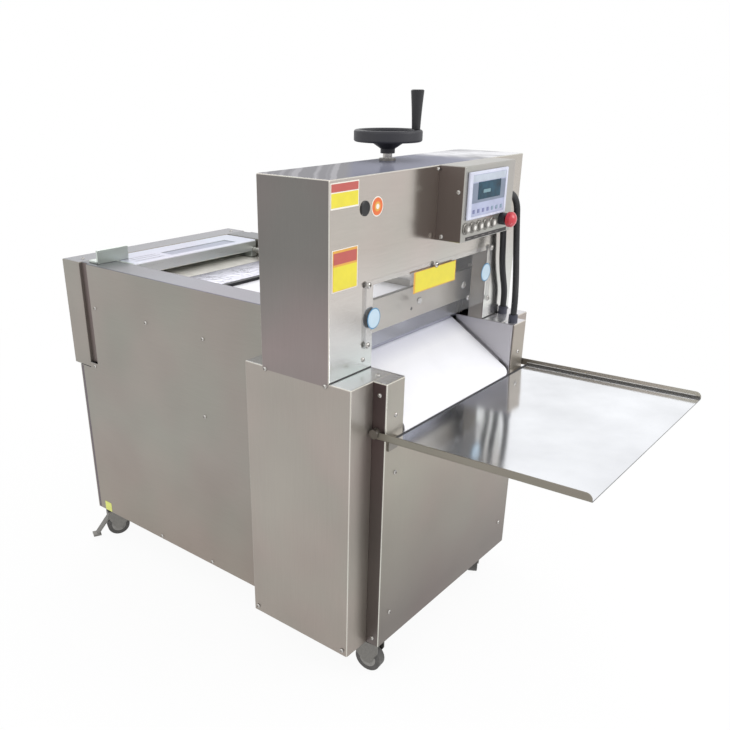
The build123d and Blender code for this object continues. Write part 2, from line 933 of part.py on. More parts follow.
# Presser screw with its thrust collar, up into the handwheel hub
hub_base = head_top + hub_base_height
with BuildPart() as presser_screw:
    rod_between(
        "z",
        (0, screw_axis_y, 0),
        presser_screw_diameter / 2,
        (screw_start, hub_base + hub_height),
    )
    thrust_low = bridge_z[1] + running_gap
    rod_between(
        "z",
        (0, screw_axis_y, 0),
        thrust_collar_diameter / 2,
        (thrust_low, thrust_low + thrust_collar_height),
    )
presser_screw.part.label = "presser_screw"
export_step(presser_screw.part, "parts/presser_screw.step")

# Handwheel: hub, dished web, round rim and the spindle of the handle
rim_low = head_top + wheel_rim_base_height
rim_high = rim_low + wheel_rim_height
rim_outer = wheel_diameter / 2
rim_inner = rim_outer - wheel_rim_width
hub_bore = presser_screw_diameter / 2 + fit_gap
handle_x = handle_radius_place * handle_direction[0]
handle_y = screw_axis_y + handle_radius_place * handle_direction[1]
handle_base = rim_high + running_gap
with BuildPart() as handwheel:
    with BuildSketch(Plane(origin=(0, screw_axis_y, 0), x_dir=(1, 0, 0), z_dir=(0, -1, 0))):
        Polygon(
            (hub_bore, hub_base),
            (hub_diameter / 2, hub_base),
            (hub_diameter / 2, hub_base + hub_collar_height),
            (dish_radius, rim_low + web_thickness / 2),
            (rim_inner, rim_low + web_thickness / 2),
            (rim_inner, rim_low + 3 * web_thickness / 2),
            (dish_radius, rim_low + 3 * web_thickness / 2),
            (hub_diameter / 2, hub_base + hub_collar_height + web_thickness),
            (hub_diameter / 2, hub_base + hub_height),
            (hub_bore, hub_base + hub_height),
            align=None,
        )
        with Locations(((rim_inner + rim_outer) / 2, (rim_low + rim_high) / 2)):
            RectangleRounded(wheel_rim_width, wheel_rim_height, wheel_rim_width / 3)
    revolve(axis=Axis((0, screw_axis_y, 0), (0, 0, 1)))
    rod_between(
        "z",
        (handle_x, handle_y, 0),
        handle_pin_diameter / 2,
        (rim_low + wheel_rim_height / 2, handle_base + handle_pin_depth),
    )
handwheel.part.label = "handwheel"
export_step(handwheel.part, "parts/handwheel.step")

# Handle, turning freely on the spindle
handle_plane = Plane(origin=(handle_x, handle_y, handle_base), x_dir=(1, 0, 0), z_dir=(0, -1, 0))
pin_bore = handle_pin_diameter / 2 + running_gap
bore_top = handle_pin_depth + running_gap
with BuildPart() as handwheel_handle:
    with BuildSketch(handle_plane):
        with BuildLine():
            Polyline(
                (0, bore_top),
                (pin_bore, bore_top),
                (pin_bore, 0),
                (handle_low_diameter / 2, 0),
            )
            Spline(
                (handle_low_diameter / 2, 0),
                (handle_middle_diameter / 2, handle_height / 2),
                (handle_top_diameter / 2, handle_height - handle_edge),
            )
            Polyline(
                (handle_top_diameter / 2, handle_height - handle_edge),
                (handle_top_diameter / 2 - handle_edge, handle_height),
                (0, handle_height),
                (0, bore_top),
            )
        make_face()
    revolve(axis=Axis((handle_x, handle_y, 0), (0, 0, 1)))
handwheel_handle.part.label = "handwheel_handle"
export_step(handwheel_handle.part, "parts/handwheel_handle.step")

# Pusher bar with a lug on the guide rod and a lug on the lead screw
pusher_y = (cap_front - pusher_rear_gap - pusher_depth, cap_front - pusher_rear_gap)
with BuildPart() as pusher_bar:
    slab((-pusher_half, pusher_half), pusher_y, (rim - pusher_height, rim))
    slab_pair(
        (pusher_half - pusher_lug_width, pusher_half),
        pusher_y,
        (rim - pusher_lug_height, rim),
    )
    for x in (-feed_x, feed_x):
        rod_between(
            "y",
            (x, 0, feed_z),
            feed_rod_diameter / 2 + running_gap,
            (pusher_y[0] - overrun_length, pusher_y[1] + overrun_length),
            Mode.SUBTRACT,
        )
pusher_bar.part.label = "pusher_bar"
export_step(pusher_bar.part, "parts/pusher_bar.step")

# Feed lead screw
feed_block_y = (head_rear + seam_gap, head_rear + seam_gap + feed_block_depth)
motor_front = cap_front + sheet_thickness + seam_gap
with BuildPart() as lead_screw:
    rod_between(
        "y",
        (feed_x, 0, feed_z),
        feed_rod_diameter / 2,
        (feed_block_y[0], motor_front + feed_motor_bore_depth - overrun_length),
    )
lead_screw.part.label = "lead_screw"
export_step(lead_screw.part, "parts/lead_screw.step")

# Feed drive: motor in the cap, guide rod and the two front end blocks
block_x = (mouth_half - seam_gap - feed_block_width, mouth_half - seam_gap)
with BuildPart() as feed_drive:
    slab_pair(
        block_x,
        feed_block_y,
        (feed_z - feed_block_height / 2, feed_z + feed_block_height / 2),
    )
    for x in (-feed_x, feed_x):
        rod_between(
            "y",
            (x, 0, feed_z),
            feed_rod_diameter / 2 + fit_gap,
            (feed_block_y[0] - overrun_length, feed_block_y[1] + overrun_length),
            Mode.SUBTRACT,
        )
    rod_between(
        "y", (-feed_x, 0, feed_z), feed_rod_diameter / 2, (feed_block_y[0], cap_front - seam_gap)
    )
    motor_span = (motor_front, motor_front + feed_motor_length)
    rod_between("y", (feed_x, 0, feed_z), feed_motor_diameter / 2, motor_span)
    rod_between(
        "y",
        (feed_x, 0, feed_z),
        feed_rod_diameter / 2 + running_gap,
        (motor_front - overrun_length, motor_front + feed_motor_bore_depth),
        Mode.SUBTRACT,
    )
feed_drive.part.label = "feed_drive"
export_step(feed_drive.part, "parts/feed_drive.step")

# Slice tray: a sheet floor with a flange and a pivot lug at each side
tilt = math.radians(tray_tilt)
tray_half = cabinet_half + tray_side_step
tray_bottom = tray_above_pivot - tray_height
tray_plane = Plane(
    origin=(0, pivot_y, pivot_z),
    x_dir=(0, -math.cos(tilt), math.sin(tilt)),
    z_dir=(-1, 0, 0),
)
with BuildPart() as tray:
    for offset in (tray_half, -tray_half + tray_flange):
        with BuildSketch(tray_plane.offset(-offset)):
            with Locations((tray_length / 2, tray_above_pivot - tray_height / 2)):
                flange = Rectangle(tray_length, tray_height)
            front_top = flange.vertices().group_by(Axis.Y)[0].group_by(Axis.Z)[-1]
            fillet(front_top, tray_corner)
            Circle(tray_lug_radius)
            Circle(tray_stud_diameter / 2 + running_gap, mode=Mode.SUBTRACT)
        extrude(amount=tray_flange)
    with BuildSketch(tray_plane.offset(-tray_half)):
        floor_middle = (tray_floor_start + tray_length) / 2
        with Locations((floor_middle, tray_bottom + tray_floor / 2)):
            Rectangle(tray_length - tray_floor_start, tray_floor)
    extrude(amount=2 * tray_half)
tray.part.label = "tray"
export_step(tray.part, "parts/tray.step")

# Tray studs on the cabinet sides and the brackets that the tray rests on
stud_root = tray_half - tray_flange - running_gap
bracket_top = pivot_z + tray_bottom - running_gap
with BuildPart() as tray_brackets:
    for side in (-1, 1):
        centre = (0, pivot_y, pivot_z)
        washer_span = (side * cabinet_half, side * stud_root)
        rod_between("x", centre, tray_stud_head_diameter / 2, washer_span)
        head_start = tray_half + running_gap
        stud_span = (side * cabinet_half, side * head_start)
        rod_between("x", centre, tray_stud_diameter / 2, stud_span)
        head_span = (side * head_start, side * (head_start + tray_stud_head))
        rod_between("x", centre, tray_stud_head_diameter / 2, head_span)
    bracket_outer = cabinet_half - bracket_inset
    bracket_span = (bracket_outer - bracket_width, bracket_outer)
    slab_pair(
        bracket_span,
        (cabinet_face - bracket_reach, cabinet_face),
        (bracket_top - bracket_thickness, bracket_top),
    )
    slab_pair(
        bracket_span,
        (cabinet_face - bracket_thickness, cabinet_face),
        (bracket_top - bracket_height, bracket_top),
    )
tray_brackets.part.label = "tray_brackets"
export_step(tray_brackets.part, "parts/tray_brackets.step")

# Control box, open at the back where it meets the head panel
box_face = head_front - box_depth
box_right = head_half - box_inset
box_left = box_right - box_width
display_left = box_left + display_inset
display_right = display_left + display_width
display_high = head_top - display_drop
display_low = display_high - display_height
stop_x = box_left + stop_inset
box_low = head_top - box_height
button_z = head_top - button_drop
stop_z = head_top - stop_drop
button_start = box_left + button_inset
button_places = [button_start + index * button_pitch for index in range(button_count)]
with BuildPart() as control_box:
    slab((box_left, box_right), (box_face, head_front - seam_gap), (box_low, head_top))
    fillet(control_box.edges().filter_by(Axis.Z).group_by(Axis.Y)[0], box_wall)
    slab(
        (box_left + box_wall, box_right - box_wall),
        (box_face + box_wall, head_front + overrun_length),
        (box_low + box_wall, head_top - box_wall),
        Mode.SUBTRACT,
    )
    slab(
        (display_left + display_rim, display_right - display_rim),
        (box_face - overrun_length, box_face + box_wall + overrun_length),
        (display_low + display_rim, display_high - display_rim),
        Mode.SUBTRACT,
    )
    for x in button_places:
        rod(
            "y",
            (x, box_face, button_z),
            barrel_diameter / 2 + fit_gap,
            4 * box_wall,
            Mode.SUBTRACT,
        )
    rod(
        "y",
        (stop_x, box_face, stop_z),
        barrel_diameter / 2 + fit_gap,
        4 * box_wall,
        Mode.SUBTRACT,
    )
control_box.part.label = "control_box"
export_step(control_box.part, "parts/control_box.step")

# Display panel: bezel in front of the box and its body inside
with BuildPart() as display_panel:
    slab(
        (display_left, display_right),
        (box_face - display_bezel, box_face),
        (display_low, display_high),
    )
    inset = display_rim + fit_gap
    slab(
        (display_left + inset, display_right - inset),
        (box_face, box_face + display_body_depth),
        (display_low + inset, display_high - inset),
    )
    fillet(display_panel.edges().group_by(Axis.Y)[0], box_wall / 2)
display_panel.part.label = "display_panel"
export_step(display_panel.part, "parts/display_panel.step")

# Collars and contact barrels of the push buttons and the stop button
button_bore = button_diameter / 2 + running_gap
stop_bore = stop_stem_diameter / 2 + running_gap
with BuildPart() as switch_collars:
    for x in button_places:
        centre = (x, 0, button_z)
        rod_between("y", centre, collar_diameter / 2, (box_face - collar_height, box_face))
        rod_between("y", centre, barrel_diameter / 2, (box_face, box_face + barrel_depth))
        rod_between(
            "y",
            centre,
            button_bore,
            (box_face - collar_height - overrun_length, box_face + barrel_depth - barrel_floor),
            Mode.SUBTRACT,
        )
    centre = (stop_x, 0, stop_z)
    collar_face = box_face - stop_collar_height
    rod_between("y", centre, stop_collar_diameter / 2, (collar_face, box_face))
    rod_between("y", centre, barrel_diameter / 2, (box_face, box_face + stop_barrel_depth))
    rod_between(
        "y",
        centre,
        stop_bore,
        (collar_face - overrun_length, box_face + stop_barrel_depth - barrel_floor),
        Mode.SUBTRACT,
    )
switch_collars.part.label = "switch_collars"
export_step(switch_collars.part, "parts/switch_collars.step")

# Push buttons
for index, x in enumerate(button_places):
    name = f"push_button_{index + 1}"
    button_face = box_face - button_proud
    with BuildPart() as push_button:
        rod_between(
            "y",
            (x, 0, button_z),
            button_diameter / 2,
            (button_face, button_face + button_length),
        )
        fillet(push_button.edges().group_by(Axis.Y)[0], running_gap)
    push_button.part.label = name
    export_step(push_button.part, f"parts/{name}.step")

# Stop button: a domed head on a stem
head_back = collar_face - stop_head_gap
stop_radius = stop_head_diameter / 2
stop_skirt = stop_head_thickness / 2
dome_rise = stop_head_thickness - stop_skirt
dome_radius = (stop_radius**2 + dome_rise**2) / (2 * dome_rise)
stem_end = box_face + stop_barrel_depth - barrel_floor - stop_travel - overrun_length
stop_plane = Plane(origin=(stop_x, head_back, stop_z), x_dir=(1, 0, 0), z_dir=(0, 0, 1))
with BuildPart() as stop_button:
    with BuildSketch(stop_plane):
        with BuildLine():
            Polyline(
                (0, -stop_head_thickness),
                (0, 0),
                (stop_radius, 0),
                (stop_radius, -stop_skirt),
            )
            RadiusArc((stop_radius, -stop_skirt), (0, -stop_head_thickness), dome_radius)
        make_face()
    revolve(axis=Axis((stop_x, 0, stop_z), (0, 1, 0)))
    rod_between("y", (stop_x, 0, stop_z), stop_stem_diameter / 2, (head_back, stem_end))
stop_button.part.label = "stop_button"
export_step(stop_button.part, "parts/stop_button.step")

# Clear guard plate over the window
guard_face = head_front - seam_gap - guard_thickness
guard_left = -mouth_half - guard_left_lap
guard_right = mouth_half + guard_right_lap
guard_low = ledge + guard_base_height
guard_high = box_low - guard_box_gap
with BuildPart() as window_guard:
    slab(
        (guard_left, guard_right),
        (guard_face, head_front - seam_gap),
        (guard_low, guard_high),
    )
    fillet(window_guard.edges().filter_by(Axis.Y), guard_thickness)
window_guard.part.label = "window_guard"
export_step(window_guard.part, "parts/window_guard.step")


def bend_radii(points):
    """Largest arc at each corner that leaves the runs beside it room."""
    radii = []
    for before, corner, after in zip(points, points[1:], points[2:]):
        arriving = Vector(*corner) - Vector(*before)
        leaving = Vector(*after) - Vector(*corner)
        half_turn = math.radians(arriving.get_angle(leaving) / 2)
        radii.append(0.45 * min(arriving.length, leaving.length) / math.tan(half_turn))
    return radii


def laid_out(route):
    """Points of a hose route in the machine's frame."""
    return [(head_half - across, head_front - out, ledge + up) for across, out, up in route]


# Hoses between their glands
rear_hose = laid_out(rear_hose_route)
front_hose = laid_out(front_hose_route)
with BuildPart() as hoses:
    for route in (rear_hose, front_hose):
        radii = bend_radii(route)
        with BuildLine() as path:
            FilletPolyline(*route, radius=radii)
        wire = path.wires()[0]
        with BuildSketch(Plane(origin=wire @ 0, z_dir=wire % 0)):
            Circle(hose_diameter / 2)
        sweep(path=wire)
        section = math.pi * hose_diameter**2 / 4
        print("hose bend radii", [round(radius) for radius in radii])
        print("section times length", round(section * wire.length))
print("hose volume", round(hoses.part.volume))
hoses.part.label = "hoses"
export_step(hoses.part, "parts/hoses.step")

# Glands of the hoses and of the mains inlet
with BuildPart() as glands:
    for route in (rear_hose, front_hose):
        first = route[0]
        last = route[-1]
        rod_between("x", first, gland_diameter / 2, (box_right, box_right + side_gland_length))
        rod_between("z", last, gland_diameter / 2, (ledge, ledge + ledge_gland_length))
    inlet = (body_half - inlet_inset, 0, caster_height + inlet_rise)
    rod_between("y", inlet, gland_diameter / 2, (body_rear, body_rear + inlet_length))
    rod_between(
        "y",
        inlet,
        gland_diameter / 2 - sheet_thickness - fit_gap,
        (body_rear - inlet_tail, body_rear),
    )
    rod_between(
        "y",
        inlet,
        inlet_bore / 2,
        (body_rear - inlet_tail - overrun_length, body_rear + inlet_length + overrun_length),
        Mode.SUBTRACT,
    )
glands.part.label = "glands"
export_step(glands.part, "parts/glands.step")

# Casters: fork, wheel and, at the rear, a brake pedal
casters = (
    ("front_left", (-front_caster[0], front_caster[1]), front_left_trail_angle, False),
    ("front_right", front_caster, front_right_trail_angle, False),
    ("rear_left", (-rear_caster[0], rear_caster[1]), rear_trail_angle, True),
    ("rear_right", rear_caster, 180 - rear_trail_angle, True),
)
leg_inner = caster_wheel_width / 2 + fork_gap
leg_outer = leg_inner + fork_leg_thickness
crown_top = crown_base_height + crown_thickness
fork_top = caster_height - caster_plate_thickness - running_gap
axle_centre = (caster_trail, 0, caster_wheel_radius)
pedal_pin = (pedal_pin_reach, 0, pedal_pin_height)
for name, place, angle, braked in casters:
    heading = (math.cos(math.radians(angle)), math.sin(math.radians(angle)), 0)
    caster_plane = Plane(origin=(place[0], place[1], 0), x_dir=heading, z_dir=(0, 0, 1))
    with BuildPart(caster_plane) as caster_fork:
        slab((-crown_back, crown_front), (-leg_outer, leg_outer), (crown_base_height, crown_top))
        rod_between("z", (0, 0, 0), fork_head_radius, (crown_top, fork_top))
        leg_low = caster_wheel_radius - fork_axle_margin
        for start in (-leg_outer, leg_inner):
            leg_plane = Plane(
                origin=caster_plane.from_local_coords((0, start, 0)),
                x_dir=heading,
                z_dir=caster_plane.y_dir,
            )
            with BuildSketch(leg_plane):
                Polygon(
                    (-crown_back, -crown_top),
                    (crown_front, -crown_top),
                    (crown_front, -pedal_pin_height + pedal_lug_radius),
                    (caster_trail + fork_axle_margin, -leg_low),
                    (caster_trail - fork_axle_margin, -leg_low),
                    (-crown_back, -crown_base_height + fork_axle_margin),
                    align=None,
                )
            extrude(amount=fork_leg_thickness)
        rod("y", axle_centre, caster_axle_diameter / 2, 2 * leg_outer)
        if braked:
            rod("y", pedal_pin, pedal_pin_diameter / 2, 2 * leg_outer)
    caster_fork.part.label = f"caster_fork_{name}"
    export_step(caster_fork.part, f"parts/caster_fork_{name}.step")

    with BuildPart(caster_plane) as caster_wheel:
        rod("y", axle_centre, caster_wheel_radius, caster_wheel_width)
        fillet(caster_wheel.edges().filter_by(GeomType.CIRCLE), fork_gap)
        bore = caster_axle_diameter / 2 + running_gap
        rod("y", axle_centre, bore, 2 * caster_wheel_width, Mode.SUBTRACT)
    caster_wheel.part.label = f"caster_wheel_{name}"
    export_step(caster_wheel.part, f"parts/caster_wheel_{name}.step")

    if not braked:
        continue
    pad_centre = pedal_pin_reach + pedal_pad_reach
    pedal_plane = Plane(
        origin=caster_plane.from_local_coords((0, -pedal_width / 2, 0)),
        x_dir=heading,
        z_dir=caster_plane.y_dir,
    )
    arm_end = pedal_pad_base_height + pedal_pad_thickness / 2
    arm_drop = pedal_pin_height - arm_end
    arm_length = math.hypot(pedal_pad_reach, arm_drop)
    arm_angle = math.degrees(math.atan2(arm_drop, pedal_pad_reach))
    arm_middle = (pedal_pin_reach + pedal_pad_reach / 2, -(pedal_pin_height + arm_end) / 2)
    with BuildPart() as pedal:
        with BuildSketch(pedal_plane):
            with Locations((pedal_pin_reach, -pedal_pin_height)):
                Circle(pedal_lug_radius)
            with Locations(Location((*arm_middle, 0), (0, 0, arm_angle))):
                Rectangle(arm_length, pedal_arm_thickness)
            with Locations((pad_centre, -arm_end)):
                Rectangle(pedal_pad_length, pedal_pad_thickness)
            with Locations((pedal_pin_reach, -pedal_pin_height)):
                Circle(pedal_pin_diameter / 2 + running_gap, mode=Mode.SUBTRACT)
        extrude(amount=pedal_width)
    pedal.part.label = f"brake_pedal_{name}"
    export_step(pedal.part, f"parts/brake_pedal_{name}.step")

# Screw heads on the panels, as places along each face
row_high = ledge - screw_margin
row_low = caster_height + screw_margin
lap_row = ledge - screw_radius - seam_gap
body_screws = (
    (recess_front - 2 * screw_margin, row_high),
    (casing_rear + 0.57 * body_length, row_high),
    (casing_rear + 0.28 * body_length, row_high),
    (recess_front + screw_wide_margin, recess_low - screw_margin),
    (casing_rear + 0.294 * body_length, caster_height + 0.674 * casing_height),
    (casing_rear + 0.59 * body_length, row_low),
    (casing_rear + 0.305 * body_length, row_low),
)
casing_screws = (
    (head_rear - screw_margin, lap_row),
    (head_front + screw_margin, lap_row),
    (casing_front + screw_wide_margin, caster_height + screw_wide_margin),
    (casing_rear - screw_wide_margin, caster_height + screw_wide_margin),
)
cabinet_screw_y = (cabinet_face + casing_front) / 2
cabinet_screws = (
    (cabinet_screw_y, ledge - 2 * screw_wide_margin),
    (cabinet_screw_y, caster_height + 2 * screw_margin),
)
front_screw_x = cabinet_half - 3 * screw_wide_margin
front_screws = (
    (front_screw_x, caster_height + 0.88 * (panel_top - caster_height)),
    (front_screw_x, caster_height + 0.155 * (panel_top - caster_height)),
    (cabinet_half - conveyor_box_width / 2, (panel_top + ledge) / 2),
)
guard_bolts = (
    (guard_left + bolt_margin, guard_high - bolt_margin),
    (guard_left + bolt_margin, guard_low + bolt_margin),
    ((guard_left + guard_right) / 2, guard_high - bolt_margin),
    (guard_right - bolt_margin, guard_high - bolt_margin),
    (guard_right - bolt_margin, guard_low + bolt_margin),
)
box_screws = (
    (box_face + screw_wide_margin, (box_low + 2 * head_top) / 3),
    (head_front - screw_wide_margin, box_low + screw_margin),
)


def screw(axis, place, outward, radius=screw_radius, height=screw_height):
    """A low round head standing on a face."""
    start = place["xyz".index(axis)]
    rod_between(axis, place, radius, (start, start + outward * height))


with BuildPart() as panel_screws:
    for y, z in body_screws:
        screw("x", (-body_half, y, z), -1)
        screw("x", (body_half, y, z), 1)
    for y, z in casing_screws:
        screw("x", (-head_half, y, z), -1)
        screw("x", (head_half, y, z), 1)
    for y, z in cabinet_screws:
        screw("x", (-cabinet_half, y, z), -1)
        screw("x", (cabinet_half, y, z), 1)
    for x, z in front_screws:
        screw("y", (-x, cabinet_face, z), -1)
        screw("y", (x, cabinet_face, z), -1)
    for x, z in guard_bolts:
        screw("y", (x, guard_face, z), -1, bolt_radius, bolt_height)
    cap_screw_y = cap_front + 2 * screw_wide_margin
    for x in (cap_screw_inset - body_half, body_half - cap_screw_inset):
        screw("z", (x, cap_screw_y, rim), 1)
    for y, z in box_screws:
        screw("x", (box_left, y, z), -1)
    screw("y", (guard_left, head_front, (head_low + guard_low) / 2), -1)
    box_top_x = cabinet_half - conveyor_box_width / 2
    screw("z", (-box_top_x, casing_front + screw_wide_margin, ledge), 1)
panel_screws.part.label = "panel_screws"
export_step(panel_screws.part, "parts/panel_screws.step")
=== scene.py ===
import math

import bmesh
import bpy
from bpy.props import FloatProperty, FloatVectorProperty, PointerProperty
from mathutils import Matrix, Vector


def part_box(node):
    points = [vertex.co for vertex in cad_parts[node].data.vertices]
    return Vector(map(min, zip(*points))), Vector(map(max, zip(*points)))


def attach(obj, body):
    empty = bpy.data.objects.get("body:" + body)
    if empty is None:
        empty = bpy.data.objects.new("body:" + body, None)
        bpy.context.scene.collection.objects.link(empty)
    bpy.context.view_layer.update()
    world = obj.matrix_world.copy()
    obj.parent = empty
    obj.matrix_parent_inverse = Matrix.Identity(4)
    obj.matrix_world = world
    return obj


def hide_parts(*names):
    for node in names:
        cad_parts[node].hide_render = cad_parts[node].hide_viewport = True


bl_info = {
    "name": "Frozen meat slicer",
    "version": (1, 0, 0),
    "blender": (4, 5, 0),
    "location": "View3D > Sidebar > Slicer",
    "description": "Dresses the slicer's frame with sheet metal, fittings and finishes",
    "category": "Object",
}

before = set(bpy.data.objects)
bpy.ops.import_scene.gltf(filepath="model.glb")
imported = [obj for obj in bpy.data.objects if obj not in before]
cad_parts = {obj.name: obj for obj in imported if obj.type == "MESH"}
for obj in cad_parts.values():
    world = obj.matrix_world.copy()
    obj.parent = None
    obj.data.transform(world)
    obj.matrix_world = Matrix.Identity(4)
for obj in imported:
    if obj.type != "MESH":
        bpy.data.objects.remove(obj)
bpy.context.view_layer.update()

MM = 0.001
AXES = {"x": 0, "y": 1, "z": 2}


# Sizes read from the frame
def limits(node):
    """Lowest and highest corner of a frame node, in millimetres."""
    low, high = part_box(node)
    return low / MM, high / MM


def middle(node):
    """The middle of a frame node's box, in millimetres."""
    low, high = limits(node)
    return (low + high) / 2


def spans(node):
    """The ranges of a frame node along the three axes, in millimetres."""
    return tuple(zip(*limits(node)))


# Places on the machine, in millimetres
HEAD_LOW, HEAD_HIGH = limits("head_covers")
CASING_LOW, CASING_HIGH = limits("casing_panels")
CABINET_LOW, CABINET_HIGH = limits("cabinet_front")
BODY_LOW, BODY_HIGH = limits("body_panels")
CAP_LOW, CAP_HIGH = limits("rear_cap")
BOX_FACE = limits("control_box")[0].y
DISPLAY_LOW, DISPLAY_HIGH = limits("display_panel")
BOARD_LOW, BOARD_HIGH = limits("cutting_board")
LEDGE = CASING_HIGH.z
RIM = CAP_HIGH.z
WINDOW_TOP = LEDGE + 169.0
REAR_WINDOW_TOP = LEDGE + 155.0
MOUTH = 228.0
STEM = (0, -86.0, 0)
FEED_SCREWS = ((212.0, 0, 795.0), (-212.0, 0, 795.0))
TRAY_PIVOT = Vector((0, -289.0, 614.0))
TRAY_TILT = math.radians(1.8)

# Sheet and cutting sizes, in millimetres
SHEET = 3.0
GAP = 0.2
OVERRUN = 9.0
LAP_SKIN = 0.5
LAP_CLEARANCE = 0.3
SIDE_WALL = 4.0

# Steps of a fold, and the angle in degrees above which the body's and tray's edges are rounded
FOLD_STEPS = 4
SHARP_EDGE = 60

# How far a face's direction must lie along an axis, from 0 to 1
STRAIGHT = 0.92
LEVEL = 0.9

# Light of the studio, and what brushed sheet loses to its own streaks
WORLD_LIGHT = 0.95
GAIN = 1.15
EVEN = (1.0, 1.0, 1.0)


# Mesh building, in millimetres
def block(bm, x, y, z):
    """A box between pairs of limits."""
    for vert in bmesh.ops.create_cube(bm, size=1)["verts"]:
        vert.co = Vector(span[0 if side < 0 else 1] for span, side in zip((x, y, z), vert.co))


def soften(bm, radius, steps=2, sharper=30):
    """Rounds every edge that is sharper than an angle in degrees."""
    bmesh.ops.dissolve_limit(
        bm, angle_limit=math.radians(0.5), verts=bm.verts, edges=bm.edges, delimit=set()
    )
    edges = [
        edge
        for edge in bm.edges
        if len(edge.link_faces) == 2 and edge.calc_face_angle(0) > math.radians(sharper)
    ]
    bmesh.ops.bevel(
        bm,
        geom=edges,
        offset=radius,
        offset_type="OFFSET",
        segments=steps,
        profile=0.5,
        affect="EDGES",
        clamp_overlap=True,
    )


def soft_block(bm, x, y, z, radius, steps=2):
    """A box with rounded edges, added to a mesh."""
    own = bmesh.new()
    block(own, x, y, z)
    soften(own, radius, steps)
    absorb(bm, own)


def absorb(bm, own):
    """Adds one mesh to another."""
    mesh = bpy.data.meshes.new("part")
    own.to_mesh(mesh)
    own.free()
    bm.from_mesh(mesh)
    bpy.data.meshes.remove(mesh)


def prism(bm, outline, axis, span):
    """A polygon in the two other axes, in their order, pulled along one axis."""
    index = AXES[axis]

    def corner(point, level):
        spot = list(point)
        spot.insert(index, level)
        return bm.verts.new(spot)

    near = [corner(point, span[0]) for point in outline]
    far = [corner(point, span[1]) for point in outline]
    faces = [bm.faces.new(near), bm.faces.new(far[::-1])]
    for i in range(len(outline)):
        j = (i + 1) % len(outline)
        faces.append(bm.faces.new((near[j], near[i], far[i], far[j])))
    bmesh.ops.recalc_face_normals(bm, faces=faces)


def turned(bm, axis, centre, profile, steps=32):
    """A profile of (radius, place along the axis) turned about the axis through a centre."""
    index = AXES[axis]
    others = [i for i in range(3) if i != index]
    rings = []
    for radius, along in profile:
        ring = []
        for k in range(1 if radius == 0 else steps):
            angle = 2 * math.pi * k / steps
            spot = [0, 0, 0]
            spot[index] = along
            spot[others[0]] = centre[others[0]] + radius * math.cos(angle)
            spot[others[1]] = centre[others[1]] + radius * math.sin(angle)
            ring.append(bm.verts.new(spot))
        rings.append(ring)
    faces = []
    for first, second in zip(rings, rings[1:]):
        for k in range(steps):
            corners = [
                first[k % len(first)],
                first[(k + 1) % len(first)],
                second[(k + 1) % len(second)],
                second[k % len(second)],
            ]
            unique = list(dict.fromkeys(corners))
            if len(unique) > 2:
                faces.append(bm.faces.new(unique))
    bmesh.ops.recalc_face_normals(bm, faces=faces)


def rounded_path(points, radii, steps=6):
    """A line of points with its inner corners rounded."""
    line = [Vector(points[0])]
    for before, corner, after, radius in zip(points, points[1:], points[2:], radii):
        corner = Vector(corner)
        back = (Vector(before) - corner).normalized()
        ahead = (Vector(after) - corner).normalized()
        half = back.angle(ahead) / 2
        reach = radius / math.tan(half)
        centre = corner + (back + ahead).normalized() * (radius / math.sin(half))
        start = corner + back * reach - centre
        end = corner + ahead * reach - centre
        turn = math.atan2(start.x * end.y - start.y * end.x, start.dot(end))
        for k in range(steps + 1):
            line.append(centre + Matrix.Rotation(turn * k / steps, 2) @ start)
    line.append(Vector(points[-1]))
    return line


def folded(bm, points, thickness, radius, axis, span):
    """Bent sheet: a line of outer points, thickened to its left, pulled along one axis."""
    points = [Vector(point) for point in points]
    normals = []
    for start, end in zip(points, points[1:]):
        run = (end - start).normalized()
        normals.append(Vector((-run.y, run.x)))
    inner = [points[0] + normals[0] * thickness]
    outer_radii = []
    inner_radii = []
    for before, after, corner in zip(normals, normals[1:], points[1:]):
        inner.append(corner + (before + after) * (thickness / (1 + before.dot(after))))
        left = before.x * after.y - before.y * after.x > 0
        small = max(radius - thickness, thickness / 10)
        outer_radii.append(radius if left else small)
        inner_radii.append(small if left else radius)
    inner.append(points[-1] + normals[-1] * thickness)
    outline = rounded_path(points, outer_radii) + rounded_path(inner, inner_radii)[::-1]
    prism(bm, outline, axis, span)


def carve(bm, *cutters):
    """Takes the cutter meshes out of a mesh."""
    cut = bmesh.new()
    for cutter in cutters:
        absorb(cut, cutter)
    target = loose_object(bm)
    tool = loose_object(cut)
    step = target.modifiers.new("cut", "BOOLEAN")
    step.operation = "DIFFERENCE"
    step.solver = "EXACT"
    step.use_self = True
    step.object = tool
    bpy.context.view_layer.update()
    shape = target.evaluated_get(bpy.context.evaluated_depsgraph_get())
    result = bmesh.new()
    result.from_mesh(shape.to_mesh())
    for obj in (target, tool):
        mesh = obj.data
        bpy.data.objects.remove(obj)
        bpy.data.meshes.remove(mesh)
    return result


def loose_object(bm):
    """A mesh as a linked object of its own."""
    mesh = bpy.data.meshes.new("part")
    bm.to_mesh(mesh)
    bm.free()
    obj = bpy.data.objects.new("part", mesh)
    bpy.context.scene.collection.objects.link(obj)
    return obj


def past(low, high=None):
    """A span for a clean cut, reaching past both its ends or past one face."""
    return low - OVERRUN, (low if high is None else high) + OVERRUN


def both_sides(near, far):
    """The same span across the machine on its left and on its right."""
    return (-far, -near), (near, far)


def box_cutter(x, y, z):
    """A box as a mesh of its own."""
    bm = bmesh.new()
    block(bm, x, y, z)
    return bm


def round_cutter(axis, centre, radius, span):
    """A round bar as a mesh of its own."""
    bm = bmesh.new()
    low, high = span
    turned(bm, axis, centre, [(0, low), (radius, low), (radius, high), (0, high)])
    return bm


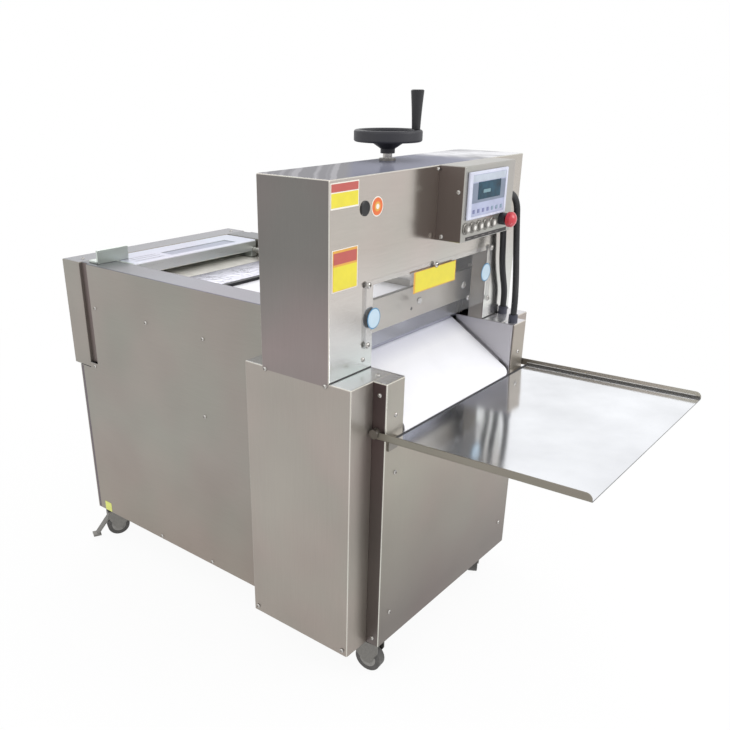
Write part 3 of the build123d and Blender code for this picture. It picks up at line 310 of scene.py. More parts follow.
def place(name, bm, finish, slot, body="machine", stands_for=(), sharper=35):
    """Makes a piece of a mesh and sets it on its body."""
    bmesh.ops.recalc_face_normals(bm, faces=bm.faces)
    mesh = bpy.data.meshes.new(name)
    bm.to_mesh(mesh)
    bm.free()
    mesh.transform(Matrix.Scale(MM, 4))
    mesh.shade_smooth()
    mesh.set_sharp_from_angle(angle=math.radians(sharper))
    mesh.materials.append(finish)
    obj = bpy.data.objects.new(name, mesh)
    bpy.context.scene.collection.objects.link(obj)
    even = obj.modifiers.new("even", "WEIGHTED_NORMAL")
    even.keep_sharp = True
    even.weight = 100
    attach(obj, body)
    if stands_for:
        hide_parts(*stands_for)
    return obj


def place_blocks(name, boxes, finish, slot, radius, steps=1, **where):
    """Boxes with rounded edges as one piece."""
    bm = bmesh.new()
    for x, y, z in boxes:
        soft_block(bm, x, y, z, radius, steps)
    return place(name, bm, finish, slot, **where)


def islands(node):
    """Boxes of the separate solids of a frame node, in millimetres."""
    bm = bmesh.new()
    bm.from_mesh(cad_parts[node].data)
    bmesh.ops.remove_doubles(bm, verts=bm.verts, dist=1e-6)
    left = set(bm.verts)
    boxes = []
    while left:
        start = left.pop()
        group = [start]
        waiting = [start]
        while waiting:
            for edge in waiting.pop().link_edges:
                for other in edge.verts:
                    if other in left:
                        left.discard(other)
                        group.append(other)
                        waiting.append(other)
        low = Vector(min(vert.co[i] for vert in group) / MM for i in range(3))
        high = Vector(max(vert.co[i] for vert in group) / MM for i in range(3))
        boxes.append((low, high))
    bm.free()
    return sorted(boxes, key=lambda pair: tuple(round(value, 1) for value in pair[0]))


# Shader nodes
class Reading:
    """A socket whose arithmetic adds Math nodes."""

    def __init__(self, nodes, socket):
        self.nodes = nodes
        self.socket = socket

    def math(self, operation, first, second):
        """A Math node on two values."""
        settings = {"operation": operation}
        return self.nodes.read("ShaderNodeMath", 0, settings, {0: first, 1: second})

    def __add__(self, other):
        return self.math("ADD", self, other)

    def __radd__(self, other):
        return self.math("ADD", other, self)

    def __sub__(self, other):
        return self.math("SUBTRACT", self, other)

    def __rsub__(self, other):
        return self.math("SUBTRACT", other, self)

    def __mul__(self, other):
        return self.math("MULTIPLY", self, other)

    def __rmul__(self, other):
        return self.math("MULTIPLY", other, self)

    def __gt__(self, other):
        return self.math("GREATER_THAN", self, other)

    def __lt__(self, other):
        return self.math("LESS_THAN", self, other)

    def larger(self, other):
        """The larger of two readings."""
        return self.math("MAXIMUM", self, other)

    def held(self):
        """The reading kept between 0 and 1."""
        return self.math("MINIMUM", self, 1.0).larger(0.0)


class Nodes:
    """A node tree with one method that adds nodes to it."""

    def __init__(self, tree):
        self.tree = tree
        tree.nodes.clear()

    def node(self, kind, settings=None, sockets=None):
        """Adds a node: its settings first, then the values or links of its sockets."""
        made = self.tree.nodes.new(kind)
        for key, value in (settings or {}).items():
            if key == "stops":
                elements = made.color_ramp.elements
                for spot, colour in value[2:]:
                    elements.new(spot)
                for element, (spot, colour) in zip(elements, value):
                    element.position = spot
                    element.color = (*colour, 1)
            else:
                setattr(made, key, value)
        for key, value in (sockets or {}).items():
            self.feed(made.inputs[key], value)
        return made

    def feed(self, socket, value):
        """Links a reading to a socket or sets its value."""
        if isinstance(value, Reading):
            self.tree.links.new(value.socket, socket)
        elif socket.type == "RGBA" and len(value) == 3:
            socket.default_value = (*value, 1)
        else:
            socket.default_value = value

    def read(self, kind, output, settings=None, sockets=None):
        """Adds a node and gives one of its outputs."""
        made = self.node(kind, settings, sockets)
        return Reading(self, made.outputs[output])


class Finish(Nodes):
    """One material and the nodes that make it."""

    def __init__(self, name, **constants):
        self.material = bpy.data.materials.new(name)
        self.material.use_nodes = True
        super().__init__(self.material.node_tree)
        self.shader = self.node("ShaderNodeBsdfPrincipled")
        surface = Reading(self, self.shader.outputs[0])
        self.node("ShaderNodeOutputMaterial", None, {"Surface": surface})
        self.spot = self.read("ShaderNodeTexCoord", "Object")
        self.set(**constants)

    def set(self, **values):
        """Links or sets sockets of the shader; an underscore stands for a space."""
        for key, value in values.items():
            self.feed(self.shader.inputs[key.replace("_", " ")], value)

    def place_on(self, axis):
        """The place along an axis, in metres."""
        return self.read("ShaderNodeSeparateXYZ", AXES[axis], None, {0: self.spot})

    def fade(self, axis, low, first, high, second):
        """One colour turning to another between two places along an axis, in millimetres: a painted
        gradient of light and shade.
        """
        share = (self.place_on(axis) - low * MM) * (1 / ((high - low) * MM))
        return self.ramp(share, (0.0, first), (1.0, second))

    def noise(self, scale, detail=3.0, roughness=0.5, stretch=None, turn=(0, 0, 0)):
        """Noise between 0 and 1, drawn out along the axes where a stretch is given."""
        spot = self.spot
        if stretch:
            sockets = {"Vector": spot, "Scale": stretch, "Rotation": turn}
            spot = self.read("ShaderNodeMapping", "Vector", None, sockets)
        sockets = {"Vector": spot, "Scale": scale, "Detail": detail, "Roughness": roughness}
        return self.read("ShaderNodeTexNoise", "Fac", None, sockets)

    def ramp(self, value, *stops):
        """A value through a row of colour stops."""
        return self.read("ShaderNodeValToRGB", "Color", {"stops": stops}, {0: value})

    def blend(self, factor, first, second, kind="MIX"):
        """Two colours mixed by a factor."""
        settings = {"data_type": "RGBA", "blend_type": kind}
        return self.read("ShaderNodeMix", 2, settings, {0: factor, 6: first, 7: second})

    def layered(self, *tones):
        """Colours multiplied with each other."""
        result = tones[0]
        for tone in tones[1:]:
            result = self.blend(1.0, result, tone, "MULTIPLY")
        return result

    def between(self, value, low, high):
        """A value from 0 to 1 spread between two numbers."""
        return value * (high - low) + low

    def bump(self, height, strength, distance):
        """A small relief for the surface."""
        sockets = {"Height": height, "Strength": strength, "Distance": distance}
        self.set(Normal=self.read("ShaderNodeBump", "Normal", None, sockets))


# Finishes
def ink(code):
    """A screen colour code as linear red, green and blue."""
    channels = [int(code[i : i + 2], 16) / 255 for i in (0, 2, 4)]
    return tuple(
        value / 12.92 if value <= 0.04045 else ((value + 0.055) / 1.055) ** 2.4
        for value in channels
    )


def shade(colour, factor):
    """A colour made lighter or darker."""
    return tuple(min(channel * factor, 1) for channel in colour)


def brushed_steel(name, colour, along="z", roughness=0.36, metal=0.8, fade=None):
    """Stainless sheet: fine brush lines along one axis, soft clouds of tone, and a
    second colour to which it turns between two places along an axis where it has one, as painted light and
    shade."""
    finish = Finish(name, Metallic=metal)
    fine, long = 220, 4
    stretch = [fine, fine, fine]
    stretch[AXES[along]] = long
    lines = finish.noise(scale=4.0, detail=4.0, roughness=0.7, stretch=tuple(stretch))
    clouds = finish.noise(scale=3.2, detail=2.0)
    tint = finish.noise(scale=5.5, detail=1.0)
    base = shade(colour, GAIN)
    if fade:
        axis, start, end, other = fade
        base = finish.fade(axis, start, base, end, shade(other, GAIN))
    tone = finish.layered(
        finish.ramp(clouds, (0.3, shade(EVEN, 0.86)), (0.7, EVEN)),
        base,
        finish.ramp(tint, (0.35, (1.0, 0.975, 0.965)), (0.65, (0.965, 1.0, 0.975))),
        finish.ramp(lines, (0.25, shade(EVEN, 0.9)), (0.75, EVEN)),
    )
    finish.set(
        Base_Color=tone, Roughness=finish.between(lines, roughness - 0.06, roughness + 0.1)
    )
    finish.bump(lines, strength=0.18, distance=0.0004)
    return finish.material


def reflection_banded_steel(name, colour, blue, pale, roughness=0.1):
    """Polished sheet of the head's top, with painted reflections: grey with bright slanted streaks on the
    left, blue in the middle, and a pale, cloudy right part."""
    finish = Finish(
        name, Metallic=0.35, Specular_IOR_Level=0.0, Specular_Tint=(0.45, 0.45, 0.5)
    )
    front, slope, left_end, right_start = -0.223, 1.35, -0.3, 0.12
    across = finish.place_on("x")
    wander = finish.noise(scale=2.0, detail=3.0, stretch=(3, 3, 3))
    slant = across - (finish.place_on("y") - front) * slope + (wander - 0.5) * 0.03
    lines = finish.read(
        "ShaderNodeTexNoise",
        "Fac",
        {"noise_dimensions": "1D"},
        {"W": slant, "Scale": 26.0, "Detail": 1.0},
    )
    # Painted reflection: the streaks, the blue middle and the pale clouds stand for the reflected
    # surroundings
    streaks = finish.ramp(lines, (0.5, colour), (0.62, shade(colour, 1.6)))
    deep = finish.ramp((slant - left_end) * 2.0, (0.0, blue), (1.0, shade(blue, 1.35)))
    left = ((slant - left_end) * -40.0).held()
    clouds = finish.noise(scale=1.6, detail=4.0, roughness=0.6, stretch=(7, 4, 7), turn=(0, 0, 0.9))
    cloudy = finish.ramp(clouds, (0.38, shade(pale, 0.45)), (0.58, pale))
    right = ((across + (wander - 0.5) * 0.12 - right_start) * 14.0).held()
    finish.set(
        Base_Color=finish.blend(right, finish.blend(left, deep, streaks), cloudy),
        Roughness=finish.between(wander, roughness * 0.6, roughness * 1.6),
    )
    finish.bump(wander, strength=0.05, distance=0.0004)
    return finish.material


def polished_steel(name, colour, roughness=0.1, metal=0.95):
    """Bright stainless with faint smears and hairline scratches."""
    finish = Finish(name, Metallic=metal)
    smears = finish.noise(scale=7.0, detail=3.0)
    hairs = finish.noise(scale=3.0, detail=5.0, roughness=0.75, stretch=(300, 6, 300))
    finish.set(
        Base_Color=finish.ramp(smears, (0.3, shade(colour, 0.9)), (0.7, shade(colour, 1.06))),
        Roughness=finish.between(smears, roughness * 0.6, roughness * 1.5),
    )
    finish.bump(hairs, strength=0.05, distance=0.0003)
    return finish.material


def machined_steel(name, colour, roughness=0.28, spacing=900):
    """Turned or ground steel with fine tool marks."""
    finish = Finish(name, Metallic=0.95)
    marks = finish.noise(scale=1.0, detail=4.0, stretch=(spacing, spacing, spacing))
    finish.set(
        Base_Color=finish.ramp(marks, (0.3, shade(colour, 0.82)), (0.7, shade(colour, 1.08))),
        Roughness=finish.between(marks, roughness - 0.08, roughness + 0.1),
    )
    finish.bump(marks, strength=0.12, distance=0.0003)
    return finish.material


def moulded(name, colour, roughness=0.45, grain=1400, depth=0.0002, coat=0.0):
    """Moulded plastic or rubber with a fine grain and faint dust."""
    finish = Finish(name, Metallic=0.0, Coat_Weight=coat)
    fine = finish.noise(grain, detail=2.0)
    dust = finish.noise(scale=18.0, detail=4.0, roughness=0.65)
    finish.set(
        Base_Color=finish.ramp(dust, (0.35, shade(colour, 0.88)), (0.75, shade(colour, 1.12))),
        Roughness=finish.between(dust, roughness - 0.08, roughness + 0.12),
    )
    finish.bump(fine, strength=0.2, distance=depth)
    return finish.material


def film(name, code, roughness=0.3, coat=0.0):
    """Smooth moulded plastic or film of the controls."""
    return moulded(name, ink(code), roughness, grain=900, depth=0.0001, coat=coat)


def two_tone(name, outside, inside, centre, reach):
    """Moulded piece of two tones, told apart by the distance from a centre."""
    finish = Finish(name, Metallic=0.0)
    sockets = {0: finish.spot, 1: centre * MM}
    far = finish.read("ShaderNodeVectorMath", "Value", {"operation": "DISTANCE"}, sockets)
    scuffs = finish.noise(scale=90.0, detail=4.0, roughness=0.6)
    outer = finish.ramp(scuffs, (0.3, shade(outside, 0.8)), (0.7, shade(outside, 1.15)))
    inner = finish.ramp(scuffs, (0.3, shade(inside, 0.85)), (0.7, shade(inside, 1.1)))
    finish.set(
        Base_Color=finish.blend(far > reach * MM, inner, outer),
        Roughness=finish.between(scuffs, 0.4, 0.6),
    )
    finish.bump(scuffs, strength=0.15, distance=0.0003)
    return finish.material


def plate_lacquer(name, code):
    """Lacquer of the blank plates, faintly worn and faded."""
    colour = ink(code)
    finish = Finish(name, Metallic=0.0, Coat_Weight=0.2)
    wear = finish.noise(scale=60.0, detail=4.0, roughness=0.6)
    finish.set(
        Base_Color=finish.ramp(wear, (0.3, shade(colour, 0.95)), (0.7, shade(colour, 1.02))),
        Roughness=finish.between(wear, 0.4, 0.55),
    )
    finish.bump(wear, strength=0.05, distance=0.0002)
    return finish.material


def pressed_sheet(name, colour):
    """Sheet with rows of small pressed-in pimples, for the trough floor behind the board."""
    finish = Finish(name, Metallic=0.55)
    near = finish.read(
        "ShaderNodeTexVoronoi",
        "Distance",
        {"feature": "F1", "distance": "EUCLIDEAN"},
        {"Vector": finish.spot, "Scale": 62.0, "Randomness": 0.85},
    )
    spots = finish.ramp(near, (0.24, shade(colour, 0.4)), (0.34, colour))
    clouds = finish.noise(scale=14.0, detail=3.0)
    finish.set(
        Base_Color=finish.blend(clouds, spots, colour),
        Roughness=finish.between(clouds, 0.2, 0.4),
    )
    finish.bump(near, strength=0.5, distance=0.002)
    return finish.material


def board_plastic(name, colour):
    """White board with fine cuts and a little dust."""
    finish = Finish(name, Metallic=0.0)
    cuts = finish.noise(scale=1.5, detail=4.0, roughness=0.7, stretch=(6, 220, 6))
    dust = finish.noise(scale=18.0, detail=4.0, roughness=0.65)
    wear = finish.ramp(dust, (0.35, (0.94, 0.94, 0.95)), (0.75, EVEN))
    finish.set(
        Base_Color=finish.layered(colour, wear), Roughness=finish.between(dust, 0.32, 0.5)
    )
    finish.bump(cuts, strength=0.1, distance=0.0002)
    return finish.material


def woven_belt(name, colour, upper):
    """Coated belt with a faint cross weave and a few marks, and painted shade: greyer toward its upper
    end.
    """
    finish = Finish(name, Metallic=0.0, Coat_Weight=0.15)
    weave = finish.read(
        "ShaderNodeTexWave",
        "Fac",
        {"wave_type": "BANDS", "bands_direction": "X"},
        {"Vector": finish.spot, "Scale": 320.0, "Distortion": 0.4},
    )
    marks = finish.noise(scale=9.0, detail=5.0, roughness=0.6)
    worn = finish.ramp(marks, (0.3, shade(EVEN, 0.95)), (0.65, EVEN))
    finish.set(
        # Painted shade: the belt turns greyer toward its upper end under the head
        Base_Color=finish.layered(finish.fade("y", -190, colour, -116, upper), worn),
        Roughness=finish.between(marks, 0.35, 0.5),
    )
    finish.bump(weave, strength=0.08, distance=0.0002)
    return finish.material


def see_through(name, colour, alpha):
    """Clear guard plastic with a faint haze and scuffs."""
    finish = Finish(name, Metallic=0.0, IOR=1.49)
    scuffs = finish.noise(scale=16.0, detail=5.0, roughness=0.7)
    finish.set(
        Base_Color=finish.ramp(scuffs, (0.3, shade(colour, 0.95)), (0.7, colour)),
        Roughness=finish.between(scuffs, 0.06, 0.16),
        Alpha=finish.between(scuffs, alpha * 0.8, alpha * 1.2),
    )
    return finish.material


def lit_screen(name, colour, glow):
    """Dark display glass with a soft glow from behind."""
    finish = Finish(name, Metallic=0.0, Specular_IOR_Level=0.2, Emission_Strength=0.4)
    cloud = finish.noise(scale=45.0, detail=2.0)
    tone = finish.ramp(cloud, (0.35, colour), (0.7, glow))
    finish.set(
        Base_Color=tone, Emission_Color=tone, Roughness=finish.between(cloud, 0.1, 0.2)
    )
    return finish.material


def dress(finish, *nodes):
    """Gives frame nodes a finish."""
    for node in nodes:
        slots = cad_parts[node].data.materials
        slots.clear()
        slots.append(finish)


def split_finishes(obj, finishes, pick):
    """More finishes on a piece, each face choosing one by its direction and middle."""
    for finish in finishes:
        obj.data.materials.append(finish)
    for face in obj.data.polygons:
        face.material_index = pick(face.normal, face.center / MM)


def is_fold(normal):
    """Whether a face belongs to a fold, looking along no axis."""
    return max(abs(value) for value in normal) < STRAIGHT


def lit_ledge_steel():
    """Finish of the faces that look up, lighter than the sheet below: painted light from above."""
    return brushed_steel("lit_ledge_sheet", ink("D6D6DB"), "x", roughness=0.2)


def fold_highlight_steel():
    """Finish of the folds: a painted highlight along each bend."""
    return brushed_steel("fold_highlight_sheet", ink("CFCBC4"), "z", roughness=0.25)


# Sizes and colours that a user would change
def colour_setting(label, about, code):
    """A colour that a user can change."""
    return FloatVectorProperty(
        name=label, description=about, subtype="COLOR", size=3, default=ink(code)
    )


class SlicerSizes(bpy.types.PropertyGroup):
    """Sizes of the folded sheet, and the power of the main lamp."""

    fold_radius: FloatProperty(
        name="Fold radius", description="Outer radius of the folds, in mm", default=3.0, min=0.5
    )
    edge_radius: FloatProperty(
        name="Edge radius", description="Rounding of the cut sheet edges, in mm", default=0.5
    )
    lap: FloatProperty(
        name="Head lap", description="How far the head sides lap down, in mm", default=6.7
    )
    lamp_power: FloatProperty(
        name="Lamp power", description="Power of the main lamp", default=36.0, unit="POWER"
    )


class SlicerColours(bpy.types.PropertyGroup):
    """Colours of the finishes."""

    # Head front and sides are lit and shaded copies of one sheet, the head top colour carries painted
    # reflection bands, and the control box colour is its painted shaded sides
    head_side: colour_setting("Head side", "Sheet on the head's sides", "8F8584")
    head_front: colour_setting("Head front", "Sheet on the head's front", "BDB5AF")
    head_top: colour_setting("Head top", "Polished sheet on the head's top", "8A898B")
    casing: colour_setting("Casing", "Sheet of the lower casing", "A69E98")
    body: colour_setting("Body", "Sheet of the rear body", "98938D")
    cabinet: colour_setting("Cabinet", "Sheet of the front cabinet", "A69F96")
    control_box: colour_setting("Control box", "Sheet of the control box", "6E6562")
    belt: colour_setting("Belt", "Conveyor belt and cutting board", "FBFBFF")


def sizes():
    """The size settings."""
    return bpy.context.scene.slicer_sizes


def colours():
    """The colour settings."""
    return bpy.context.scene.slicer_colours


class SLICER_OT_head(bpy.types.Operator):
    """Folded head over the knife, with its window, rear opening and polished top."""

    bl_idname = "slicer.head"
    bl_label = "Head shell"

    def execute(self, context):
        fold = sizes().fold_radius
        x, y, top = HEAD_HIGH.x, (HEAD_LOW.y, HEAD_HIGH.y), HEAD_HIGH.z
        low = HEAD_LOW.z - sizes().lap
        under = low - OVERRUN
        rear_half = MOUTH + SHEET + GAP
        stem_hole = 12.0
        spare, cut = 4 * fold, 9 * fold
        bm = bmesh.new()
        soft_block(bm, (-x, x), y, (low - spare, top), fold, FOLD_STEPS)
        bm = carve(
            bm,
            box_cutter(past(-x, x), past(*y), (low - cut, low)),
            box_cutter((SHEET - x, x - SHEET), (y[0] + SHEET, y[1] - SHEET), (under, top - SHEET)),
            box_cutter((LAP_SKIN - x, x - LAP_SKIN), past(*y), (under, HEAD_LOW.z)),
            box_cutter((-MOUTH, MOUTH), past(y[0]), (under, WINDOW_TOP)),
            box_cutter((-rear_half, rear_half), past(y[1]), (under, REAR_WINDOW_TOP)),
            round_cutter("z", STEM, stem_hole, past(top)),
        )
        # Painted light: the head's front, sides and top are lit and shaded copies of one sheet; the front
        # turns lighter toward the bottom, the sides darker toward the top
        front = brushed_steel(
            "head_front_lit_sheet",
            colours().head_front,
            "x",
            roughness=0.15,
            metal=0.95,
            fade=("z", 960, 730, ink("E0E2E0")),
        )
        side = brushed_steel(
            "head_side_shade_sheet", colours().head_side, "z", roughness=0.3, fade=("z", 760, 950, ink("75716F"))
        )
        # Painted reflection bands on the head's top
        upper = reflection_banded_steel(
            "head_top_reflection_sheet", colours().head_top, ink("828492"), ink("F4F4F6")
        )
        obj = place(
            "head_shell",
            bm,
            front,
            "mirror_stainless",
            stands_for=("head_front_panel", "head_rear_cover", "head_covers"),
        )

        def pick(normal, spot):
            if normal.z > STRAIGHT and spot.z > top - OVERRUN:
                return 2
            if abs(normal.x) > STRAIGHT:
                return 1
            return 3 if abs(normal.y) < STRAIGHT else 0

        split_finishes(obj, (side, upper, fold_highlight_steel()), pick)
        seal = moulded("head_seal_rubber", ink("1B1A1C"), roughness=0.5)
        proud, deep, tall = 1.4, 0.4, 1.6
        seal_y = (y[0] - proud, y[0] + deep)
        seal_z = (HEAD_LOW.z, HEAD_LOW.z + tall)
        strips = [(span, seal_y, seal_z) for span in both_sides(MOUTH + 1, x - 1)]
        place_blocks("head_seal", strips, seal, "black_plastic", radius=0.3)
        return {"FINISHED"}


class SLICER_OT_casing(bpy.types.Operator):
    """Lower casing with its ledges in front of and behind the head."""

    bl_idname = "slicer.casing"
    bl_label = "Casing shell"

    def execute(self, context):
        fold = sizes().fold_radius
        x = CASING_HIGH.x - LAP_SKIN - LAP_CLEARANCE
        y = (CASING_LOW.y, CASING_HIGH.y)
        z = (CASING_LOW.z, LEDGE)
        inside = x - SHEET
        under = z[0] - OVERRUN
        cabinet = CABINET_HIGH.x + GAP
        body = BODY_HIGH.x + GAP
        chute = MOUTH + SIDE_WALL + GAP
        head_y = (HEAD_LOW.y - GAP, HEAD_HIGH.y + GAP)
        spare, cut = 5 * fold, 9 * fold
        bm = bmesh.new()
        soft_block(bm, (-x, x), y, (z[0] - spare, z[1]), fold, FOLD_STEPS)
        bm = carve(
            bm,
            box_cutter(past(-x, x), past(*y), (z[0] - cut, z[0])),
            box_cutter((-inside, inside), (y[0] + SHEET, y[1] - SHEET), (under, z[1] - SHEET)),
            box_cutter((-inside, inside), head_y, past(z[1])),
            box_cutter((-cabinet, cabinet), past(y[0]), (under, z[1] - SHEET - GAP)),
            box_cutter((-chute, chute), (y[0] - OVERRUN, HEAD_LOW.y), past(z[1])),
            box_cutter((-body, body), (HEAD_HIGH.y, y[1] + OVERRUN), past(*z)),
        )
        soften(bm, sizes().edge_radius)
        # Painted shade: the casing turns a little darker toward the bottom; its upward faces and folds
        # take the painted light of the ledges and folds
        finish = brushed_steel(
            "casing_sheet", colours().casing, "z", roughness=0.34, fade=("z", 560, 91, ink("9F968F"))
        )
        obj = place("casing_shell", bm, finish, "brushed_stainless", stands_for=("casing_panels",))
        split_finishes(
            obj,
            (lit_ledge_steel(), fold_highlight_steel()),
            lambda normal, spot: 1 if normal.z > LEVEL else 2 * is_fold(normal),
        )
        return {"FINISHED"}


class SLICER_OT_cabinet(bpy.types.Operator):
    """Front cabinet with the two conveyor boxes folded from it, and the walls beside the belt."""

    bl_idname = "slicer.cabinet"
    bl_label = "Cabinet and conveyor boxes"

    def execute(self, context):
        self.shell()
        self.walls()
        return {"FINISHED"}

    def shell(self):
        """The cabinet panel, its returns and the boxes beside the belt."""
        fold = sizes().fold_radius
        x = CABINET_HIGH.x
        y = (CABINET_LOW.y, CASING_LOW.y - GAP)
        z = (CABINET_LOW.z, LEDGE)
        spare = 20.0
        chute = MOUTH + SIDE_WALL + GAP
        panel_top = LEDGE - 145.0
        seam = (panel_top, panel_top + 0.7)
        seam_inset, seam_depth = 8.0, 0.8
        under = z[0] - OVERRUN
        bm = bmesh.new()
        soft_block(bm, (-x, x), (y[0], y[1] + spare), (z[0] - spare, z[1]), fold, FOLD_STEPS)
        bm = carve(
            bm,
            box_cutter(past(-x, x), (y[0] - OVERRUN, y[1] + 2 * spare), (z[0] - 2 * spare, z[0])),
            box_cutter(past(-x, x), (y[1], y[1] + 2 * spare), past(*z)),
            box_cutter((SHEET - x, x - SHEET), (y[0] + SHEET, y[1] + OVERRUN), (under, z[1] - SHEET)),
            box_cutter((-chute, chute), past(*y), (panel_top, z[1] + OVERRUN)),
            box_cutter((seam_inset - x, x - seam_inset), (y[0] - OVERRUN, y[0] + seam_depth), seam),
        )
        soften(bm, sizes().edge_radius)
        # Painted shade: the panel turns darker toward the bottom, and its side returns are a darker copy
        # that darkens toward the top
        panel = brushed_steel(
            "cabinet_sheet", colours().cabinet, "z", roughness=0.34, fade=("z", 500, 130, ink("776F6B"))
        )
        strip = brushed_steel(
            "cabinet_side_shade_sheet", ink("6B6260"), "z", roughness=0.34, fade=("z", 420, 700, ink("5C4D4E"))
        )
        obj = place("cabinet_shell", bm, panel, "brushed_stainless", stands_for=("cabinet_front",))

        def pick(normal, spot):
            if abs(normal.x) > LEVEL:
                return 1 if abs(spot.x) > x - 1 else 0
            return 2 if normal.z > LEVEL else 3 * is_fold(normal)

        split_finishes(obj, (strip, lit_ledge_steel(), fold_highlight_steel()), pick)

    def walls(self):
        """The walls beside the belt, bored for its rollers, and the bed under it."""
        wall_y = (CABINET_LOW.y + SHEET + GAP, -150.0)
        wall_z = (LEDGE - 160, LEDGE)
        bore = 6.4
        bm = bmesh.new()
        for span in both_sides(MOUTH, MOUTH + SIDE_WALL):
            soft_block(bm, span, wall_y, wall_z, radius=0.6)
        upper, lower = middle("drive_roller"), middle("idler_roller")
        reach = (-CABINET_HIGH.x, CABINET_HIGH.x)
        bm = carve(bm, *[round_cutter("x", roller, bore, reach) for roller in (upper, lower)])
        run = upper - lower
        ahead = run.normalized()
        normal = Vector((0, -ahead.z, ahead.y))
        inset, under, over = 22, 8.7, 14.7
        corners = []
        far = run.length - inset
        for along, rise in ((inset, over), (far, over), (far, under), (inset, under)):
            spot = lower + ahead * along + normal * rise
            corners.append((spot.y, spot.z))
        bed = bmesh.new()
        prism(bed, corners, "x", (GAP - MOUTH, MOUTH - GAP))
        absorb(bm, bed)
        wall = polished_steel("conveyor_wall_sheet", ink("B4B2B6"), roughness=0.3, metal=0.8)
        place("conveyor_walls", bm, wall, "brushed_stainless", stands_for=("conveyor_boxes",))


